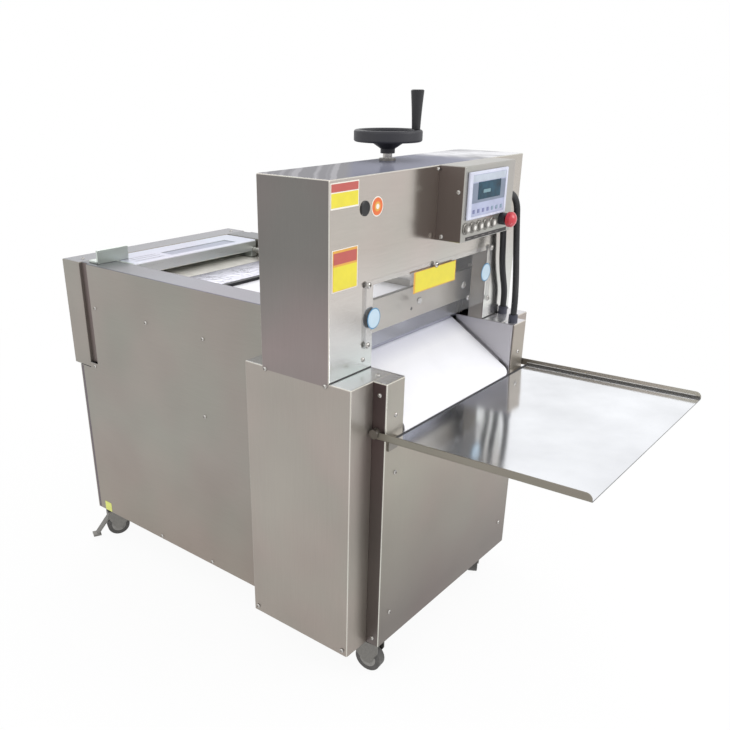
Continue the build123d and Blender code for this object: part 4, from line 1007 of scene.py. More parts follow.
class SLICER_OT_body(bpy.types.Operator):
    """Rear body: folded sides and rims, the recess strips, and the trough walls."""

    bl_idname = "slicer.body"
    bl_label = "Body shell"

    def execute(self, context):
        # Painted shade: the sides turn a little darker toward the bottom
        side = brushed_steel(
            "body_sheet", colours().body, "y", roughness=0.36, fade=("z", 420, 91, ink("948A82"))
        )
        self.shell(side)
        self.cap(side)
        self.trims()
        self.corner_cover()
        return {"FINISHED"}

    def shell(self, side):
        """Sides with their rims, the recess strips and the walls of the trough."""
        fold = sizes().fold_radius
        x = BODY_HIGH.x
        front, rear = HEAD_HIGH.y + GAP, BODY_HIGH.y
        rim_in = MOUTH + SHEET + GAP
        recess_x = x - 9.0
        recess = CAP_LOW.y - 33.0
        recess_low = RIM - 270.0
        cap_front = CAP_LOW.y - GAP
        cap_low = CAP_LOW.z - GAP
        guide_rear = -184.0

        def rims(bm, outer, low, span):
            """A side folded over to its rim, on the right and on the left."""
            right = [(outer, low), (outer, RIM), (rim_in, RIM)]
            for line in (right, [(-a, b) for a, b in right[::-1]]):
                folded(bm, line, SHEET, fold, "y", span)

        bm = bmesh.new()
        rims(bm, x, BODY_LOW.z, (front, rear))
        beside_casing = (front - OVERRUN, CASING_HIGH.y + GAP)
        bm = carve(
            bm,
            box_cutter(past(-x, x), beside_casing, (BODY_LOW.z - OVERRUN, LEDGE + GAP)),
            box_cutter(past(-x, x), (recess, rear + OVERRUN), (recess_low, RIM + OVERRUN)),
            box_cutter(past(-x, x), (cap_front, rear + OVERRUN), (cap_low, RIM + OVERRUN)),
        )
        rims(bm, recess_x, recess_low, (recess + GAP, cap_front))
        soften(bm, radius=0.4, steps=1, sharper=SHARP_EDGE)
        for wall in both_sides(MOUTH, MOUTH + SHEET):
            soft_block(bm, wall, (BOARD_LOW.y, cap_front), (BOARD_LOW.z, RIM), radius=0.6)
            guide_y = (HEAD_LOW.y + SHEET + GAP, guide_rear)
            soft_block(bm, wall, guide_y, (HEAD_LOW.z, WINDOW_TOP), radius=0.6)
        # Painted reflection: the rims are a darker lavender copy of the side sheet, darker still toward
        # the rear
        rim = brushed_steel(
            "rim_reflection_sheet", ink("7E7C87"), "y", roughness=0.34, metal=0.3, fade=("y", 300, 560, ink("626368"))
        )
        # Painted shade: the upright faces in the recess are a darker copy of the side sheet
        strip = brushed_steel("recess_shade_sheet", ink("786E6C"), "z", roughness=0.4)
        obj = place("body_shell", bm, side, "brushed_stainless", stands_for=("body_panels",))

        def pick(normal, spot):
            if normal.z > 0.6:
                return 1
            recessed = recess < spot.y < cap_front and spot.z > recess_low
            return 2 if abs(normal.x) > 0.8 and recessed else 0

        split_finishes(obj, (rim, strip), pick)

    def cap(self, side):
        """Hollow cap over the rear edge, bored for the feed screw, and the rear panel."""
        bm = bmesh.new()
        soft_block(bm, *spans("rear_cap"), sizes().fold_radius, FOLD_STEPS)
        hollow = [(low + SHEET, high - SHEET) for low, high in spans("rear_cap")]
        bore = 8.5
        bm = carve(
            bm,
            box_cutter(*hollow),
            round_cutter("y", FEED_SCREWS[0], bore, past(CAP_LOW.y)),
        )
        # Painted reflection: the cap's top is a darker lavender copy, like the rims
        lid = brushed_steel("cap_top_reflection_sheet", ink("7C7B82"), "x", roughness=0.3, metal=0.3)
        obj = place("rear_cap_shell", bm, side, "brushed_stainless", stands_for=("rear_cap",))
        split_finishes(obj, (lid,), lambda normal, spot: 1 if normal.z > LEVEL else 0)
        dress(side, "rear_panel")

    def trims(self):
        """Seal strips down the rear edges, and the tag at the left rear corner."""
        x, rear = BODY_HIGH.x, BODY_HIGH.y
        width, deep, proud, end = 8, 0.4, 0.3, 2
        seal_y = (rear - width, rear - deep)
        seal_z = (BODY_LOW.z + end, CAP_LOW.z - GAP - end)
        strips = [(span, seal_y, seal_z) for span in both_sides(x - deep, x + proud)]
        rubber = moulded("seal_strip_rubber", ink("625A60"), roughness=0.5)
        place_blocks("rear_seal", strips, rubber, "black_plastic", radius=0.2)
        tag_y, tag_z = (647.0, 676.0), (92.0, 120.0)
        tag = ((-x - 0.5, 0.2 - x), tag_y, tag_z)
        lacquer = plate_lacquer("tag_yellow_green", "D6DB6E")
        place_blocks("corner_tag", [tag], lacquer, "display_plastic", radius=0.2)

    def corner_cover(self):
        """Upright bent sheet with its foot on the left rim."""
        x, y, z = spans("corner_cover")
        thickness = 2 * SHEET
        foot_length = 52.0
        boxes = (
            (x, (y[0], y[0] + thickness), z),
            ((x[0], x[0] + foot_length), (y[0] + 1, y[1]), (z[0], z[0] + thickness)),
        )
        sheet = brushed_steel("corner_cover_sheet", ink("C2C8C4"), "x", roughness=0.3)
        # Painted highlight: faces that look right are a lighter copy of the sheet
        edge = brushed_steel("corner_cover_edge_highlight", ink("C9CCC9"), "z", roughness=0.3)
        obj = place_blocks(
            "corner_cover_sheet_metal",
            boxes,
            sheet,
            "brushed_stainless",
            radius=1.2,
            steps=2,
            stands_for=("corner_cover",),
        )
        split_finishes(obj, (edge,), lambda normal, spot: 1 if normal.x > 0.6 else 0)


class SLICER_OT_trough(bpy.types.Operator):
    """Cutting board, pressed sheet and plain plate of the trough, and the pusher bar."""

    bl_idname = "slicer.trough"
    bl_label = "Feed trough"

    def execute(self, context):
        self.floor()
        self.pusher()
        return {"FINISHED"}

    def floor(self):
        """Board, its rubber seal, the pressed sheet and the plain plate behind it."""
        top = BOARD_HIGH.z
        width = (1 - MOUTH, MOUTH - 1)
        board = [spans("cutting_board")]
        white = board_plastic("board_plastic", colours().belt)
        place_blocks(
            "board_slab",
            board,
            white,
            "white_board",
            radius=1.5,
            steps=2,
            stands_for=("cutting_board",),
        )
        seal_y, seal_z = (BOARD_HIGH.y - 5, BOARD_HIGH.y + 11), (top - 3, top + 8)
        seal = (width, seal_y, seal_z)
        black = moulded("seal_rubber", ink("0C0C16"), roughness=0.5)
        place_blocks("board_seal", [seal], black, "black_plastic", radius=1.0, steps=2)

        dress(brushed_steel("trough_floor_sheet", ink("C9C6BE"), "x", roughness=0.3), "trough_floor")
        pressed_y, pressed_rise = (361.0, 500.0), 1.2
        joint_y, joint_rise = (500.0, 504.5), 0.8
        ramp_y, ramp_low, ramp_high = (504.0, 548.0), top + 0.4, top + 6.5
        rear = limits("trough_floor")[1].y - 1
        pressed = pressed_sheet("pressed_floor_sheet", ink("E6E5F2"))
        plate = (width, pressed_y, (top, top + pressed_rise))
        place_blocks("pressed_plate", [plate], pressed, "bright_steel", radius=0.4, steps=2)
        shadow = moulded("joint_shadow", ink("8E8C94"), roughness=0.5)
        joint = (width, joint_y, (top, top + joint_rise))
        place_blocks("plate_joint", [joint], shadow, "display_plastic", radius=0.2)
        ramp = [(ramp_y[0], ramp_low), (ramp_y[1], ramp_high), (rear, ramp_high), (rear, top)]
        bm = bmesh.new()
        prism(bm, ramp + [(ramp_y[0], top)], "x", width)
        cream = moulded("floor_plate_plastic", ink("F2EFE8"), roughness=0.35, grain=700, depth=0.0002)
        place("plain_plate", bm, cream, "white_board")

    def pusher(self):
        """Pusher bar between its two lugs, with a panel and three slots in its top."""
        x, y, z = spans("pusher_bar")
        lug_width, bore = 20, 8.4
        bar_low = RIM - 32
        panel_x, panel_y, panel_depth = (-85, 155), (550, 597), 1.5
        slot_x, slot_depth = (-200, -105), 2
        slots = ((556.5, 559.5), (576.5, 579.5), (593.5, 596.5))
        bm = bmesh.new()
        soft_block(bm, x, y, (bar_low, RIM), radius=4.0, steps=3)
        for span in both_sides(x[1] - lug_width, x[1]):
            soft_block(bm, span, y, (z[0], bar_low + 1), radius=1.2)
        bm = carve(
            bm,
            *[round_cutter("y", screw, bore, past(*y)) for screw in FEED_SCREWS],
            box_cutter(panel_x, panel_y, (RIM - panel_depth, RIM + OVERRUN)),
            *[box_cutter(slot_x, slot, (RIM - slot_depth, RIM + OVERRUN)) for slot in slots],
        )
        # Painted light: the bar's front, top, recessed floors and front edge are lit and shaded copies of
        # one sheet; the recessed floors carry painted shade and the rounded front edge a painted highlight
        bar = brushed_steel("pusher_sheet", ink("CED2CF"), "x", roughness=0.28)
        upper = brushed_steel("pusher_top_sheet", ink("B4B6C6"), "x", roughness=0.3, metal=0.6)
        band = brushed_steel("pusher_recess_shade_sheet", ink("868A9E"), "x", roughness=0.3, metal=0.6)
        lip = brushed_steel("pusher_lip_highlight_sheet", ink("DADBE4"), "x", roughness=0.3, metal=0.6)
        obj = place("pusher", bm, bar, "bright_steel", "pusher", ("pusher_bar",))

        def pick(normal, spot):
            if normal.z > LEVEL:
                return 2 if spot.z < RIM - 1 else 1
            return 3 if normal.y < -0.2 and normal.z > 0.2 else 0

        split_finishes(obj, (upper, band, lip), pick)


class SLICER_OT_tray(bpy.types.Operator):
    """Slice tray, one folded sheet with an upright flange on each side."""

    bl_idname = "slicer.tray"
    bl_label = "Slice tray"

    def execute(self, context):
        half = limits("tray")[1].x
        length = 445.0
        high, low = 4.5, -11.5
        corner = 12.0
        thickness = 2.4
        flange_width, open_from = 6, -30
        lug, bore, rim = 3.0, 4.3, 9
        bm = bmesh.new()
        section = [(-half, high), (-half, low), (half, low), (half, high)]
        folded(bm, section, thickness, radius=3.0, axis="y", span=(-length, 0.0))
        quarter = [k * math.pi / 16 for k in range(9)]
        outline = [
            (corner - length - corner * math.sin(angle), high - corner + corner * math.cos(angle))
            for angle in quarter
        ]
        outline += [
            (-length - OVERRUN, high - corner),
            (-length - OVERRUN, high + OVERRUN),
            (corner - length, high + OVERRUN),
        ]
        ends = bmesh.new()
        prism(ends, outline, "x", past(-half, half))
        inside = (thickness - half, half - thickness)
        bm = carve(bm, ends, box_cutter(inside, (open_from, OVERRUN), past(low, high)))
        soften(bm, radius=0.35, steps=1, sharper=SHARP_EDGE)
        lugs = bmesh.new()
        for near, far in both_sides(half - lug, half):
            own = bmesh.new()
            ring = [(bore, near), (rim, near), (rim, far), (bore, far), (bore, near)]
            turned(own, "x", (0, 0, 0), ring)
            absorb(lugs, own)
        hang = Matrix.Translation(TRAY_PIVOT) @ Matrix.Rotation(-TRAY_TILT, 4, "X")
        for mesh in (bm, lugs):
            bmesh.ops.transform(mesh, matrix=hang, verts=mesh.verts)
        absorb(bm, lugs)
        # Painted shade: the flanges and the front edge are darker copies of the polished tray sheet
        floor = polished_steel("tray_sheet", ink("F2F4F8"), roughness=0.1)
        flange = brushed_steel("tray_flange_shade_sheet", ink("8A847B"), "y", roughness=0.34)
        front = brushed_steel("tray_edge_shade_sheet", ink("6A696C"), "x", roughness=0.34)
        obj = place("tray_sheet_metal", bm, floor, "mirror_stainless", "slice_tray", ("tray",))

        def pick(normal, spot):
            if abs(spot.x) > half - flange_width:
                return 1
            return 2 if normal.y < -0.8 else 0

        split_finishes(obj, (flange, front), pick)
        wall = half - thickness
        on_wall = (wall - 0.3, wall)
        # Painted shade and highlight strips: name, colour and the ranges along the three axes before the
        # tray is hung
        strips = (
            ("flange_hem", "4A4743", on_wall, (1 - length, -32), (low + 2.6, low + 6.6)),
            ("flange_line", "D8D6D2", on_wall, (12 - length, -32), (low + 6.8, low + 8.2)),
            ("rear_edge", "34353A", (4 - wall, wall - 4), (-37, -30.2), (low + 2.3, low + 2.9)),
        )
        for name, code, x, y, z in strips:
            bm = bmesh.new()
            soft_block(bm, x, y, z, radius=0.1, steps=1)
            bmesh.ops.transform(bm, matrix=hang, verts=bm.verts)
            shadow = moulded(name + "_tone", ink(code), roughness=0.4)
            place("tray_" + name, bm, shadow, "bright_steel", "slice_tray")
        dress(machined_steel("bracket_steel", ink("8C8882"), roughness=0.3), "tray_brackets")
        return {"FINISHED"}


class SLICER_OT_controls(bpy.types.Operator):
    """Control box, display, key row, push buttons and stop switch."""

    bl_idname = "slicer.controls"
    bl_label = "Controls"

    def execute(self, context):
        self.box()
        self.display()
        self.labels()
        self.switches()
        return {"FINISHED"}

    def box(self):
        """Folded box with the openings of the display and the switches."""
        x, (face, back), z = spans("control_box")
        wall, spare = 2.0, 20
        inset, hole = 7, 10.05
        bm = bmesh.new()
        soft_block(bm, x, (face, back + spare), z, radius=2.5, steps=FOLD_STEPS)
        inner_x = (x[0] + wall, x[1] - wall)
        inner_z = (z[0] + wall, z[1] - wall)
        opening_x = (DISPLAY_LOW.x + inset, DISPLAY_HIGH.x - inset)
        opening_z = (DISPLAY_LOW.z + inset, DISPLAY_HIGH.z - inset)
        bm = carve(
            bm,
            box_cutter(past(*x), (back, back + 2 * spare), past(*z)),
            box_cutter(inner_x, (face + wall, back + OVERRUN), inner_z),
            box_cutter(opening_x, past(face), opening_z),
            *[
                round_cutter("y", (low + high) / 2, hole, past(face))
                for low, high in islands("switch_collars")
            ],
        )
        # Painted shade: the box's sides are a darker copy of its face sheet
        side = brushed_steel("box_side_shade_sheet", colours().control_box, "z", roughness=0.3)
        front = brushed_steel("box_face_sheet", ink("A7A5A1"), "x", roughness=0.3, metal=0.7)
        obj = place(
            "control_box_shell", bm, front, "brushed_stainless", stands_for=("control_box",)
        )
        split_finishes(obj, (side,), lambda normal, spot: 1 if abs(normal.x) > LEVEL else 0)

    def display(self):
        """Display frame with its films, glass, figure and row of keys."""
        x, (front, back), z = spans("display_panel")
        face = BOX_FACE
        inset = 7.1
        left_rim, right_rim, low_rim, depth = 12, 10, 6, 1.2
        bm = bmesh.new()
        soft_block(bm, x, (front, face), z, radius=2.5, steps=3)
        window_x = (x[0] + left_rim, x[1] - right_rim)
        window_z = (z[0] + low_rim, z[1] - low_rim)
        bm = carve(bm, box_cutter(window_x, (front - OVERRUN, front + depth), window_z))
        block(bm, (x[0] + inset, x[1] - inset), (face, back), (z[0] + inset, z[1] - inset))
        plastic = film("display_frame_plastic", "C9CCDC", roughness=0.35)
        place("display_frame", bm, plastic, "display_plastic", stands_for=("display_panel",))

        sheet = (window_x[0] + GAP, window_x[1] - GAP)
        sheet_z = (window_z[0] + GAP, window_z[1] - GAP)
        band = (sheet[0] + 1, sheet[1] - 1)
        lilac = film("display_film", "A6ACC6")
        glass = lit_screen("display_glass", ink("0E2836"), ink("1A3F50"))
        slate = film("display_band_film", "737D90")
        light = film("display_strip_film", "B2BAC6")
        glint = film("display_figure_film", "6A8A94")
        # Name, finish, width, depth from the front, height, rounding and its steps
        layers = (
            ("film_sheet", lilac, sheet, (0.6, 1.3), sheet_z, 0.2, 2),
            ("band", slate, band, (0.3, 0.8), (z[0] + 33, z[0] + 73), 0.15, 1),
            ("strip", light, sheet, (0.4, 0.8), (z[0] + 75, z[1] - 7), 0.15, 1),
            ("glass_pane", glass, (41.0, 136.0), (-0.4, 0.9), (1028.0, 1063.0), 0.4, 2),
            ("figure", glint, (62.0, 92.0), (-0.6, 0.0), (1040.0, 1047.0), 0.3, 1),
        )
        for name, finish, across, levels, height, radius, steps in layers:
            box = (across, (front + levels[0], front + levels[1]), height)
            place_blocks(f"display_{name}", [box], finish, "display_plastic", radius, steps)

        first_key, key_spacing, key_half = x[0] + 23, 19.6, 4
        key_y, key_z = (front - 0.3, front + 0.9), (z[0] + 12, z[0] + 20)
        blue = film("key_film", "757AA0", roughness=0.35)
        green = film("key_film_green", "7F94A6", roughness=0.35)
        for first, last, finish in ((0, 4, blue), (4, 7, green)):
            centres = [first_key + k * key_spacing for k in range(first, last)]
            keys = [((spot - key_half, spot + key_half), key_y, key_z) for spot in centres]
            name = f"display_keys_{first}"
            place_blocks(name, keys, finish, "display_plastic", radius=0.5, steps=2)

    def labels(self):
        """Dark strip under the push buttons, with a blank mark for each."""
        face = BOX_FACE
        strip_x, strip_z = (11.0, 190.0), (946.5, 954.0)
        strip = (strip_x, (face - 0.4, face + 0.2), strip_z)
        dark = film("label_film", "211D1E", roughness=0.4)
        place_blocks("button_strip", [strip], dark, "black_plastic", radius=0.15)
        first_mark, spacing, length = 18.0, 30, 14
        mark_y, mark_z = (face - 0.7, face - 0.2), (949.5, 951.0)
        starts = [first_mark + k * spacing for k in range(5)]
        marks = [((start, start + length), mark_y, mark_z) for start in starts]
        light = film("label_mark_film", "706A68", roughness=0.4)
        place_blocks("button_strip_marks", marks, light, "display_plastic", radius=0.1)

    def switches(self):
        """Collars round the switches, and the finishes of the buttons, each with a painted highlight."""
        face = BOX_FACE
        stem, chamfer, reach = 10.0, 1.5, 25
        widest_button = 12.5
        dark = moulded("collar_plastic", ink("2A2A2E"), roughness=0.35)
        chrome = machined_steel("collar_steel", ink("8C8984"), roughness=0.35)
        stop_collar = bmesh.new()
        rings = bmesh.new()
        for low, high in islands("switch_collars"):
            outer = (high.x - low.x) / 2
            stop = outer > widest_button
            bore = 6.3 if stop else 8.3
            profile = [
                (bore, face + reach),
                (bore, low.y),
                (outer - chamfer, low.y),
                (outer, low.y + chamfer),
                (outer, face),
                (stem, face),
                (stem, high.y),
                (bore, high.y),
                (bore, face + reach),
            ]
            turned(stop_collar if stop else rings, "y", (low + high) / 2, profile)
        place("stop_collar", stop_collar, dark, "black_plastic", stands_for=("switch_collars",))
        place("button_collars", rings, chrome, "bright_steel")
        # Painted highlight and shade: a pale dot in the middle of each button's tip, with a darker ring
        # round it
        rim, dot, highlight_radius = ink("8E8B86"), ink("DEDCD6"), 4.6
        for k in range(1, 6):
            button = f"push_button_{k}"
            tip = middle(button)
            tip.y = limits(button)[0].y
            dress(two_tone(f"button_highlight_plastic_{k}", rim, dot, tip, highlight_radius), button)
        dress(film("stop_plastic_red", "C5323F", roughness=0.28, coat=0.3), "stop_button")


class SLICER_OT_plates(bpy.types.Operator):
    """Blank coloured plates and discs on the head and the guard."""

    bl_idname = "slicer.plates"
    bl_label = "Blank plates"

    def execute(self, context):
        yellow = plate_lacquer("plate_yellow", "DCCE32")
        red = plate_lacquer("plate_red", "B4524A")
        orange = plate_lacquer("plate_orange", "D8682E")
        amber = plate_lacquer("plate_amber", "D8A040")
        pale = plate_lacquer("plate_pale", "E4E0D6")
        ice = plate_lacquer("plate_ice", "B9CEDC")
        blue = plate_lacquer("plate_blue", "4B86AE")
        black = moulded("plug_plastic", ink("101012"), roughness=0.4)
        head = HEAD_LOW.y
        guard = limits("window_guard")[0].y
        layer = 0.3
        # Name, width, height, face, layer on it and finish
        plates = (
            ("upper_plate_border", (-362, -280), (1045, 1091), head, 0, pale),
            ("upper_plate_field", (-360, -282), (1048, 1073), head, 1, yellow),
            ("upper_plate_band", (-360, -282), (1075, 1089), head, 1, red),
            ("lower_plate_border", (-357, -280), (896, 974), head, 0, pale),
            ("lower_plate_back", (-355, -282), (897.5, 972.5), head, 1, amber),
            ("lower_plate_field", (-354, -283), (898.5, 943), head, 2, yellow),
            ("lower_plate_band", (-353, -284), (947, 968), head, 2, red),
            ("guard_plate_border", (-93, 75), (845, 890), guard, 0, amber),
            ("guard_plate", (-87, 72), (847, 889), guard, 1, yellow),
        )
        for name, x, z, face, level, finish in plates:
            back = face - layer * level
            box = (x, (back - layer, back), z)
            place_blocks(name, [box], finish, "display_plastic", radius=0.12)

        orange_layers = ((18.5, pale), (16.5, orange), (9.0, amber), (5.0, pale))
        blue_layers = ((21.5, blue), (19.0, ice))
        discs = (
            ("orange_disc", (-222.0, 0, 1037.5), head, orange_layers),
            ("left_disc", (-230.5, 0, 823.0), guard, blue_layers),
            ("right_disc", (217.5, 0, 838.0), guard, blue_layers),
        )
        edge = 0.2
        for name, centre, face, rings in discs:
            for level, (radius, finish) in enumerate(rings):
                front = face - 0.5 - layer * level
                profile = [
                    (0, face),
                    (radius, face),
                    (radius, front + edge),
                    (radius - edge, front),
                    (0, front),
                ]
                bm = bmesh.new()
                turned(bm, "y", centre, profile)
                place(f"{name}_{level}", bm, finish, "display_plastic")
        plug = ((0, 0), (14, 0), (14, 1.6), (12.5, 2.4), (9, 1.6), (0, 1.2))
        bm = bmesh.new()
        turned(bm, "y", (-260.6, 0, 1038.0), [(radius, head - proud) for radius, proud in plug])
        place("head_plug", bm, black, "black_plastic")
        return {"FINISHED"}


class SLICER_OT_guard(bpy.types.Operator):
    """Clear guard plate over the window, and the bolts and bores of the knife beam behind it."""

    bl_idname = "slicer.guard"
    bl_label = "Window guard"

    def execute(self, context):
        clear = see_through("guard_clear", ink("E8E8EA"), alpha=0.06)
        edge = see_through("guard_edge_plastic", ink("6E7278"), alpha=0.3)
        obj = place_blocks(
            "guard_sheet",
            [spans("window_guard")],
            clear,
            "clear_guard",
            radius=0.8,
            steps=2,
            stands_for=("window_guard",),
        )
        split_finishes(obj, (edge,), lambda normal, spot: 1 if abs(normal.x) > 0.3 else 0)
        steel = machined_steel("bolt_steel", ink("C9C7C6"), roughness=0.25)
        dark = moulded("bore_shadow", ink("3E3A3A"), roughness=0.6)
        face = limits("knife_carrier")[0].y
        bolt_height, bolt_chamfer, bore_height = 4.5, 1.5, 0.4
        bolts = bmesh.new()
        bores = bmesh.new()
        bolt_places = ((-1, 806, 8.0), (191, 806, 9.0), (219, 770, 7.0))
        bore_places = ((-28.7, 793.0, 4.0), (8.0, 803.0, 3.0))
        for x, z, radius in bolt_places:
            profile = [
                (0, face),
                (radius, face),
                (radius, face - bolt_height + bolt_chamfer),
                (radius - bolt_chamfer, face - bolt_height),
                (0, face - bolt_height),
            ]
            turned(bolts, "y", (x, 0, z), profile, steps=6)
        for x, z, radius in bore_places:
            low = face - bore_height
            turned(bores, "y", (x, 0, z), [(0, face), (radius, face), (radius, low), (0, low)])
        place("carrier_bolts", bolts, steel, "bright_steel", "knife", sharper=20)
        place("carrier_bores", bores, dark, "black_plastic", "knife")
        return {"FINISHED"}


class SLICER_OT_screws(bpy.types.Operator):
    """Domed screws with a recess, one of them beside the control box."""

    bl_idname = "slicer.screws"
    bl_label = "Screws"

    def execute(self, context):
        # Radius and height of the dome's outline, as shares of the screw's
        dome = (
            (0, 0),
            (1, 0),
            (1, 0.25),
            (0.86, 0.68),
            (0.5, 1.0),
            (0.44, 1.0),
            (0.4, 0.45),
            (0, 0.45),
        )
        beside_box = Vector((-12.0, HEAD_LOW.y - 1.5, 1089.0))
        reach = Vector((4.0, 1.5, 4.0))
        bm = bmesh.new()
        for low, high in (*islands("panel_screws"), (beside_box - reach, beside_box + reach)):
            size = high - low
            index = min(range(3), key=lambda i: size[i])
            axis = "xyz"[index]
            centre = (low + high) / 2
            inward = axis == "y" or (axis == "x" and centre.x < 0)
            root = high[index] if inward else low[index]
            rise = -size[index] if inward else size[index]
            radius = max(size) / 2
            profile = [(radius * share, root + rise * height) for share, height in dome]
            turned(bm, axis, centre, profile, steps=20)
        steel = machined_steel("screw_steel", ink("B9B6B2"), roughness=0.25)
        place("screw_heads", bm, steel, "bright_steel", stands_for=("panel_screws",))
        return {"FINISHED"}


class SLICER_OT_frame_parts(bpy.types.Operator):
    """Finishes of the parts that keep their frame shape."""

    bl_idname = "slicer.frame_parts"
    bl_label = "Frame parts"

    def execute(self, context):
        # The second colour is the painted shade of the belt's upper end
        dress(woven_belt("belt_fabric", colours().belt, ink("CDCEDE")), "conveyor_belt")
        dress(
            machined_steel("turned_steel", ink("B4B1AD"), roughness=0.25),
            "drive_roller",
            "idler_roller",
            "presser_screw",
            "guide_columns",
            "lead_screw",
            "feed_drive",
        )
        dress(machined_steel("blade_ground", ink("A6A8B4"), roughness=0.22, spacing=400), "knife_blade")
        dress(brushed_steel("carrier_steel", ink("BDB8B2"), "x", roughness=0.3), "knife_carrier")
        dress(
            machined_steel("plain_steel", ink("8E8B87"), roughness=0.38, spacing=300),
            "crankshaft",
            "connecting_rod_left",
            "connecting_rod_right",
            "presser_bridge",
            "presser_plate",
            "cross_beams",
            "base_frame",
            "crank_bearings",
        )
        # Finish, colour, roughness, grain and the node that has it
        moulded_parts = (
            ("motor_enamel", "5F6E78", 0.4, 300, "gear_motor"),
            ("wheel_plastic_dark", "2B2B31", 0.5, 700, "handwheel"),
            ("handle_plastic", "1C1C1F", 0.45, 700, "handwheel_handle"),
            ("hose_rubber_black", "1B1B1E", 0.45, 500, "hoses"),
        )
        for name, code, roughness, grain, node in moulded_parts:
            dress(moulded(name, ink(code), roughness, grain, depth=0.0003), node)
        dress(moulded("gland_plastic", ink("3A3B48"), roughness=0.4, grain=700), "glands")
        zinc = machined_steel("zinc_steel", ink("7E7C78"), roughness=0.4, spacing=250)
        tread, hub, hub_radius = ink("4E4C4A"), ink("8E8C88"), 24.0
        for corner in ("front_left", "front_right", "rear_left", "rear_right"):
            wheel = f"caster_wheel_{corner}"
            dress(zinc, f"caster_fork_{corner}")
            dress(two_tone(f"tyre_{corner}", tread, hub, middle(wheel), hub_radius), wheel)
        dress(zinc, "brake_pedal_rear_left", "brake_pedal_rear_right")
        return {"FINISHED"}


def seen_rays(tree):
    """1 for rays from the camera or off a glossy surface."""
    seen = tree.read("ShaderNodeLightPath", "Is Camera Ray")
    return seen.larger(tree.read("ShaderNodeLightPath", "Is Glossy Ray"))


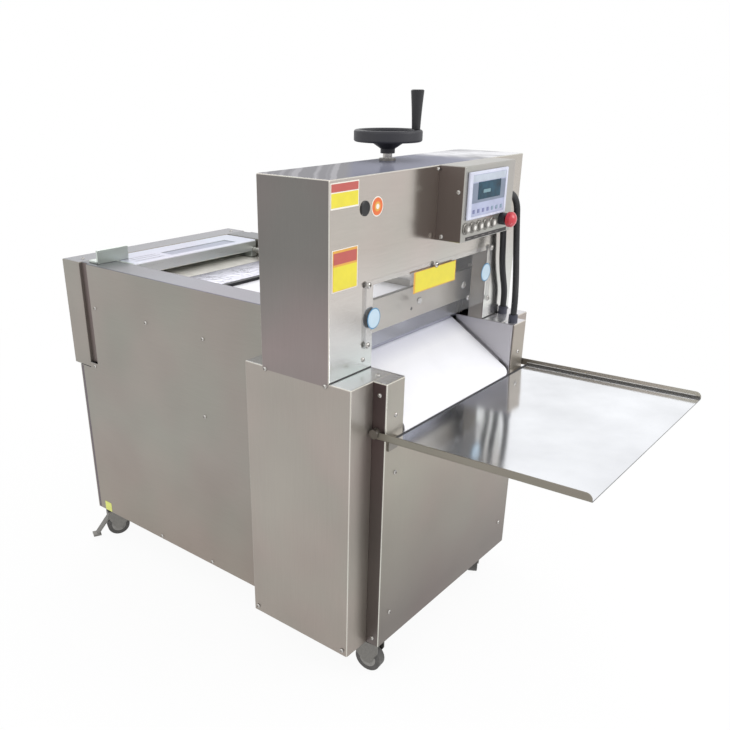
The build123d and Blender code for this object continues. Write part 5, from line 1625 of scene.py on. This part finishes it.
class SLICER_OT_stage(bpy.types.Operator):
    """Camera, pale floor, background and soft lamps."""

    bl_idname = "slicer.stage"
    bl_label = "Studio"

    def execute(self, context):
        context.scene.view_settings.view_transform = "Standard"
        self.camera(context.scene)
        self.floor(context.scene)
        self.background(context.scene)
        self.lamps(context.scene)
        return {"FINISHED"}

    def camera(self, scene):
        """The camera at the machine's front left, a little above it."""
        camera = bpy.data.cameras.new("camera")
        camera.lens = 38.8
        camera.sensor_width = 36.0
        camera.shift_x = 0.0514
        camera.shift_y = 0.0890
        camera.clip_start = 0.05
        camera.clip_end = 60
        right = Vector((0.634411, -0.772990, 0.002958))
        up = Vector((0.313279, 0.260610, 0.913202))
        back = Vector((-0.706667, -0.578419, 0.407496))
        spot = (-1.46005, -1.11700, 1.25635)
        turn = Matrix((right, up, back)).transposed().to_4x4()
        obj = bpy.data.objects.new("camera", camera)
        obj.matrix_world = Matrix.Translation(spot) @ turn
        scene.collection.objects.link(obj)
        scene.camera = obj

    def floor(self, scene):
        """White floor that keeps the machine's soft shadow and melts into the background."""
        reach, near_machine, shadow_share = 30, 0.9, 0.07
        bm = bmesh.new()
        bmesh.ops.create_grid(bm, x_segments=2, y_segments=2, size=reach)
        mesh = bpy.data.meshes.new("floor")
        bm.to_mesh(mesh)
        bm.free()
        floor = bpy.data.objects.new("floor", mesh)
        scene.collection.objects.link(floor)
        paint = bpy.data.materials.new("floor_paint")
        paint.use_nodes = True
        tree = Nodes(paint.node_tree)
        spot = tree.read("ShaderNodeTexCoord", "Object")
        far = tree.read("ShaderNodeVectorMath", "Value", {"operation": "LENGTH"}, {0: spot})
        open_floor = ((far - near_machine) * 0.5).held()
        share = seen_rays(tree) * (open_floor * shadow_share + (1 - shadow_share))
        diffuse = tree.read("ShaderNodeBsdfDiffuse", 0, None, {"Color": shade(EVEN, 0.9)})
        glow = tree.read("ShaderNodeEmission", 0, None, {"Strength": 1.0})
        mixed = tree.read("ShaderNodeMixShader", 0, None, {0: share, 1: diffuse, 2: glow})
        tree.node("ShaderNodeOutputMaterial", None, {0: mixed})
        mesh.materials.append(paint)

    def background(self, scene):
        """Even light from all sides, seen as white by the camera, in gloss and through glass."""
        world = bpy.data.worlds.new("studio")
        scene.world = world
        world.use_nodes = True
        tree = Nodes(world.node_tree)
        light = {"Color": EVEN, "Strength": WORLD_LIGHT}
        white = {"Color": EVEN, "Strength": 1.0}
        share = seen_rays(tree).larger(tree.read("ShaderNodeLightPath", "Is Transmission Ray"))
        sockets = {
            0: share,
            1: tree.read("ShaderNodeBackground", 0, None, light),
            2: tree.read("ShaderNodeBackground", 0, None, white),
        }
        mixed = tree.read("ShaderNodeMixShader", 0, None, sockets)
        tree.node("ShaderNodeOutputWorld", None, {0: mixed})

    def lamps(self, scene):
        """Three soft lamps aimed at the middle of the machine."""
        target = Vector((0, 0, 0.6))
        # Name, place and size in metres, and share of the main lamp's power
        lamps = (
            ("key_lamp", (0.9, -2.6, 2.4), 1.6, 1.0),
            ("fill_lamp", (-2.6, 0.2, 2.2), 1.8, 0.4),
            ("back_lamp", (1.6, 2.2, 2.6), 1.8, 0.5),
        )
        for name, spot, size, share in lamps:
            lamp = bpy.data.lights.new(name, "AREA")
            lamp.energy = sizes().lamp_power * share
            lamp.size = size
            holder = bpy.data.objects.new(name, lamp)
            holder.location = spot
            aim = target - Vector(spot)
            holder.rotation_euler = aim.to_track_quat("-Z", "Y").to_euler()
            scene.collection.objects.link(holder)


class SLICER_PT_panel(bpy.types.Panel):
    """Lists the slicer's settings and pieces."""

    bl_idname = "SLICER_PT_panel"
    bl_label = "Frozen meat slicer"
    bl_space_type = "VIEW_3D"
    bl_region_type = "UI"
    bl_category = "Slicer"

    def draw(self, context):
        column = self.layout.column()
        for group in (context.scene.slicer_sizes, context.scene.slicer_colours):
            for name in group.__annotations__:
                column.prop(group, name)
        for operator in PIECES:
            column.operator(operator.bl_idname)


PIECES = (
    SLICER_OT_stage,
    SLICER_OT_head,
    SLICER_OT_casing,
    SLICER_OT_cabinet,
    SLICER_OT_body,
    SLICER_OT_trough,
    SLICER_OT_tray,
    SLICER_OT_guard,
    SLICER_OT_controls,
    SLICER_OT_plates,
    SLICER_OT_screws,
    SLICER_OT_frame_parts,
)
GROUPS = (SlicerSizes, SlicerColours)


def register():
    """Registers the settings, the operators and the panel."""
    for item in (*GROUPS, *PIECES, SLICER_PT_panel):
        bpy.utils.register_class(item)
    bpy.types.Scene.slicer_sizes = PointerProperty(type=SlicerSizes)
    bpy.types.Scene.slicer_colours = PointerProperty(type=SlicerColours)


def unregister():
    """Takes them out again."""
    del bpy.types.Scene.slicer_colours
    del bpy.types.Scene.slicer_sizes
    for item in reversed((*GROUPS, *PIECES, SLICER_PT_panel)):
        bpy.utils.unregister_class(item)


def main():
    """Builds every piece."""
    register()
    for operator in PIECES:
        family, name = operator.bl_idname.split(".")
        getattr(getattr(bpy.ops, family), name)()


if __name__ == "__main__":
    main()
